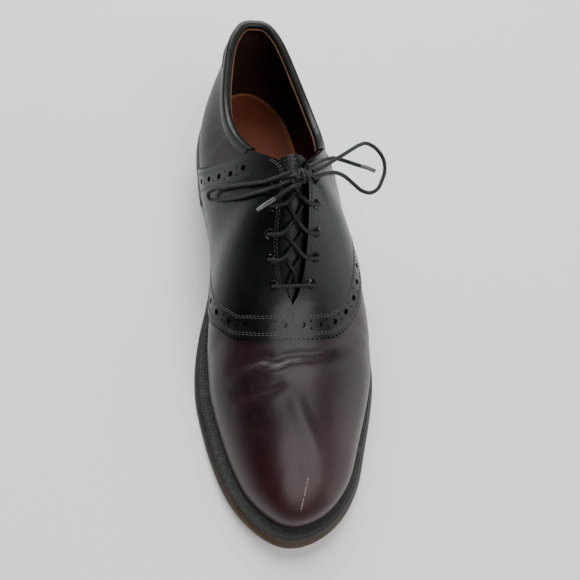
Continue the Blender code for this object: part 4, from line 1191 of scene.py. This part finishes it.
backstay = gridPiece("backstayStrip", trim["backRows"], trim["backColumns"], backPlace)
thicken(backstay, trim["backWall"], outwards=True)
softEdges(backstay, 40)
dress(backstay, backCalf, "backstay_leather", "backstay")
backLines = []
backFace = 2 * shoe["gap"] + trim["backWall"] + stitch["proud"]
for side in (-1, 1):
    heights = np.linspace(0.04, 0.86, 200)
    inside = np.maximum(backReach(heights) - 0.022, 0.02)
    backLines.append(spots(side * inside, heights, stitch["pitch"], backFace))
heights = np.full(60, 0.875)
across = np.linspace(-1, 1, 60) * (backReach(heights) - 0.02)
backLines.append(spots(across, heights, stitch["pitch"], backFace))
dress(scatter("backstayStitches", stitchShape(), backLines), waxedThread, "backstay_leather")

# the fold over the collar's edge: across from the upper's face, down from its edge
bindingSection = np.array([
    (0.0005, 0.0050), (0.0011, 0.0051), (0.0015, 0.0048), (0.0017, 0.0036), (0.0018, 0.0018),
    (0.0017, 0.0003), (0.0013, -0.0008), (0.0004, -0.0015), (-0.0010, -0.0017), (-0.0024, -0.0015),
    (-0.0033, -0.0008), (-0.0037, 0.0003), (-0.0037, 0.0020), (-0.0035, 0.0044), (-0.0025, 0.0045),
    (-0.0025, -0.0003), (0.0005, -0.0003), (0.0005, 0.0050),
])


def collarFrame(shares):
    start = -float(saddleEdge("medialRear", [1.0])[0]) + 0.010
    end = float(saddleEdge("lateralRear", [1.0])[0]) - 0.010
    angles = start + (end - start) * shares
    edge = wall(angles, 1.0)
    down = wall(angles, 0.96) - edge
    return edge, wallFrame(angles, 1.0)[2], down / np.linalg.norm(down, axis=1)[:, None]


def bindingPlace(u, v):
    count = len(bindingSection) - 1
    section = bindingSection[np.rint(u * count).astype(int)]
    edge, out, down = collarFrame(v)
    return edge + out * section[:, 0:1] + down * section[:, 1:2]


binding = gridPiece("collarBinding", len(bindingSection) - 1, trim["bindingStep"], bindingPlace)
closeBreast(binding)
smoothing = binding.modifiers.new("rounding", "SUBSURF")
smoothing.levels = smoothing.render_levels = 1
applyAll(binding)
softEdges(binding, 60)
dress(binding, bindingCalf, "binding_leather", "collar_binding")
edge, out, down = collarFrame(np.linspace(0.004, 0.996, 320))
piping = tube("collarLiningEdge", edge - out * 0.0040 + down * 0.0012, 0.0011, sides=8, spacing=0.001)
dress(piping, tanEdge, "binding_leather")


def tongueTable():
    heights = np.array(trim["tongueHeights"])
    depth = -(shoe["wall"] + trim["tongueGap"])
    rows = []
    for share in np.linspace(trim["tongueTop"], trim["tongueFoot"], 13):
        angle = float(angleAt(share))
        inner = skin(np.full(len(heights), -angle), heights, depth)
        outer = skin(np.full(len(heights), angle), heights, depth)
        arch = trim["tongueArch"] if share < shoe["throat"] else 0
        middle = skin(np.array([-angle, angle]), np.ones(2), depth).mean(axis=0) + (0, 0, arch)
        rows.append(np.concatenate([inner, [middle], outer[::-1]]))
    top = rows[0]
    centre = top[len(heights)]
    for step, taper in enumerate(trim["tongueTaper"], start=1):
        reach = trim["tongueRise"] * step / len(trim["tongueTaper"])
        rows.insert(0, centre + np.array([0, reach, reach * trim["tongueSlope"]]) + (top - centre) * taper)
    return np.stack(rows)


tongueRows = tongueTable()


def tonguePoint(across, down):
    # across and down the tongue, each from 0 to 1
    rows, columns = tongueRows.shape[:2]
    line = np.stack([np.stack([smooth(np.arange(rows), tongueRows[:, j, i], down * (rows - 1))
                               for i in range(3)], axis=1) for j in range(columns)], axis=1)
    place = across * (columns - 1)
    index = np.clip(place.astype(int), 0, columns - 2)
    t = (place - index)[:, None]
    pick = np.arange(len(place))
    before = line[pick, np.clip(index - 1, 0, columns - 1)]
    after = line[pick, np.clip(index + 2, 0, columns - 1)]
    p, q = line[pick, index], line[pick, index + 1]
    a, b = (q - before) / 2, (after - p) / 2
    return ((2 * t ** 3 - 3 * t ** 2 + 1) * p + (t ** 3 - 2 * t ** 2 + t) * a
            + (3 * t ** 2 - 2 * t ** 3) * q + (t ** 3 - t ** 2) * b)


tongue = gridPiece("tongue", 90, 50, lambda u, v: tonguePoint(v, u))
activate(tongue)
middle = Vector((0.012, -0.12))
middleFace = min(tongue.data.polygons, key=lambda face: (face.center.xy - middle).length)
if middleFace.normal.z < 0:
    bpy.ops.object.mode_set(mode="EDIT")
    bpy.ops.mesh.select_all(action="SELECT")
    bpy.ops.mesh.flip_normals()
    bpy.ops.object.mode_set(mode="OBJECT")
thicken(tongue, trim["tongueWall"])
rounding = tongue.modifiers.new("edge", "BEVEL")
rounding.width = 0.0006
rounding.segments = 3
rounding.angle_limit = math.radians(50)
applyAll(tongue)
softEdges(tongue, 50)
dress(tongue, tongueCalf, "tongue_leather", "tongue")


def tongueSpots(across, down, pitch=stitch["pitch"], lift=0.0001):
    points = tonguePoint(across, down)
    step = 0.01
    right, left = (tonguePoint(np.clip(across + way, 0, 1), down) for way in (step, -step))
    below, above = (tonguePoint(across, np.clip(down + way, 0, 1)) for way in (step, -step))
    facing = np.cross(right - left, below - above)
    facing *= np.sign(facing[:, 2])[:, None]
    facing /= np.linalg.norm(facing, axis=1)[:, None]
    walked = lengths(points)
    count = int(walked[-1] / pitch)
    pick = np.interp((np.arange(count) + 0.5) * walked[-1] / count, walked, np.arange(len(points)))
    pick = np.rint(pick).astype(int)
    return settle(points[pick] + facing[pick] * lift, np.gradient(points, axis=0)[pick], facing[pick])


line = np.linspace(0.03, 0.97, 300)
tongueLines = [tongueSpots(line, np.full(300, 0.035)), tongueSpots(np.full(300, 0.48), line),
               tongueSpots(np.full(300, 0.52), line)]
dress(scatter("tongueStitches", stitchShape(), tongueLines), waxedThread, "tongue_leather")
print("saddle shoe: backstay, collar and tongue")

# eyelets and lacing

eyelet = {"profile": ((0.0017, -0.0038), (0.0013, -0.0038), (0.0013, 0.0004), (0.00145, 0.00072),
                      (0.0018, 0.00092), (0.0022, 0.00092), (0.0027, 0.00068), (0.0030, 0.00035),
                      (0.0029, 0.00028), (0.0017, 0.00028), (0.0017, -0.0038)), "turns": 28}


def metalPaint():
    # dark lacquered metal, worn bright on the crown
    paint = Paint("lacqueredRing", Metallic=1.0)
    worn = paint.remap(paint.noise(420, 3.0), 0.55, 0.68)
    paint.feed("Base Color", paint.blend(worn, colour(0.010, 0.010, 0.010), colour(0.16, 0.16, 0.15)))
    paint.feed("Roughness", paint.remap(worn, 0.0, 1.0, (0.36, 0.24)))
    paint.bump((paint.noise(1600, 2.0), 0.00004))
    return paint


def eyeletShape():
    profile = np.array(eyelet["profile"])

    def place(u, v):
        section = profile[np.rint(u * (len(profile) - 1)).astype(int)]
        turn = v * 2 * math.pi
        return np.column_stack([section[:, 0] * np.cos(turn), section[:, 0] * np.sin(turn), section[:, 1]])

    return gridPiece("ring", len(profile) - 1, eyelet["turns"], place, recalc=True)


rings = [(centre + facing * saddleFace, ahead, facing) for centre, ahead, facing in barrels]
eyelets = scatter("eyeletRings", eyeletShape(), rings)
nodes = [f"eyelet_{name}_{row + 1}" for name in ("inner", "outer") for row in range(5)]
dress(eyelets, metalPaint(), "eyelet_metal", *nodes)


def overFacing(row, side):
    point, normal = eyeletSpots[(0 if side < 0 else 5) + row]
    above = saddleFace + 3 * shoe["gap"] + lace["crown"] + lace["diameter"] / 2
    over = saddleFace + 3 * shoe["gap"] + lace["diameter"] / 2
    angle = np.array([side * float(angleAt(lace["eyelets"][row]))])
    inside = point - normal * 0.0012
    return [inside, point + normal * above, skin(angle, np.ones(1), over)[0]]


def inThroat(row, side):
    angle = side * float(angleAt(lace["eyelets"][row]))
    edges = wall(np.array([angle, -angle]), 1.0)
    inward = (edges[1] - edges[0]) / np.linalg.norm(edges[1] - edges[0])
    return edges[0] + inward * lace["diameter"] + np.array([0, 0, -lace["diameter"] / 3])


def throatMiddle(row):
    angles = [float(angleAt(lace["eyelets"][i])) * np.array([-1.0, 1.0]) for i in (row, row + 1)]
    first, second = (wall(pair, 1.0).mean(axis=0) for pair in angles)
    return (first + second) / 2 + np.array([0, 0, lace["diameter"] / 4])


start, end = overFacing(0, -1), overFacing(0, 1)
bar = tube("laceBar", [*start, (start[2] + end[2]) / 2, *reversed(end)], lace["diameter"])
dress(bar, waxedBraid, "lace_cord", "lace_bar")
for row in range(4):
    strands = []
    for side in (-1, 1):
        begin = [inThroat(row, side)] if row == 0 else overFacing(row, side)
        lift = np.array([0, 0, side * 0.0006])
        strands.append(tube(f"strand{side}", [*begin, throatMiddle(row) + lift, inThroat(row + 1, -side)],
                            lace["diameter"]))
    dress(joinPieces(f"laceCross{row + 1}", strands), waxedBraid, "lace_cord", f"lace_cross_{row + 1}")

knotCentre = np.array(lace["knotCentre"])
knotParts = []
for across, tilt, radius in lace["wraps"]:
    turn = np.linspace(0, 2 * math.pi, 61)
    lean = math.radians(tilt)
    ring = np.column_stack([across + np.sin(turn) * radius * math.sin(lean),
                            np.sin(turn) * radius * math.cos(lean), np.cos(turn) * radius * 0.62])
    knotParts.append(tube("wrap", knotCentre + ring, lace["diameter"], closed=True))
deselect()
bpy.ops.mesh.primitive_uv_sphere_add(segments=28, ring_count=18, radius=1.0, location=tuple(knotCentre))
core = bpy.context.object
core.scale = lace["knotCore"]
bpy.ops.object.transform_apply(location=True, rotation=True, scale=True)
softEdges(core, 60)
knotParts.append(core)
for side in (-1, 1):
    inside = knotCentre + (side * lace["knotReach"], 0, -lace["knotSink"])
    knotParts.append(tube("knotRun", [*overFacing(4, side), inside], lace["diameter"]))
dress(joinPieces("laceKnot", knotParts), waxedBraid, "lace_cord", "lace_knot")
print("saddle shoe: eyelets, lacing and knot")
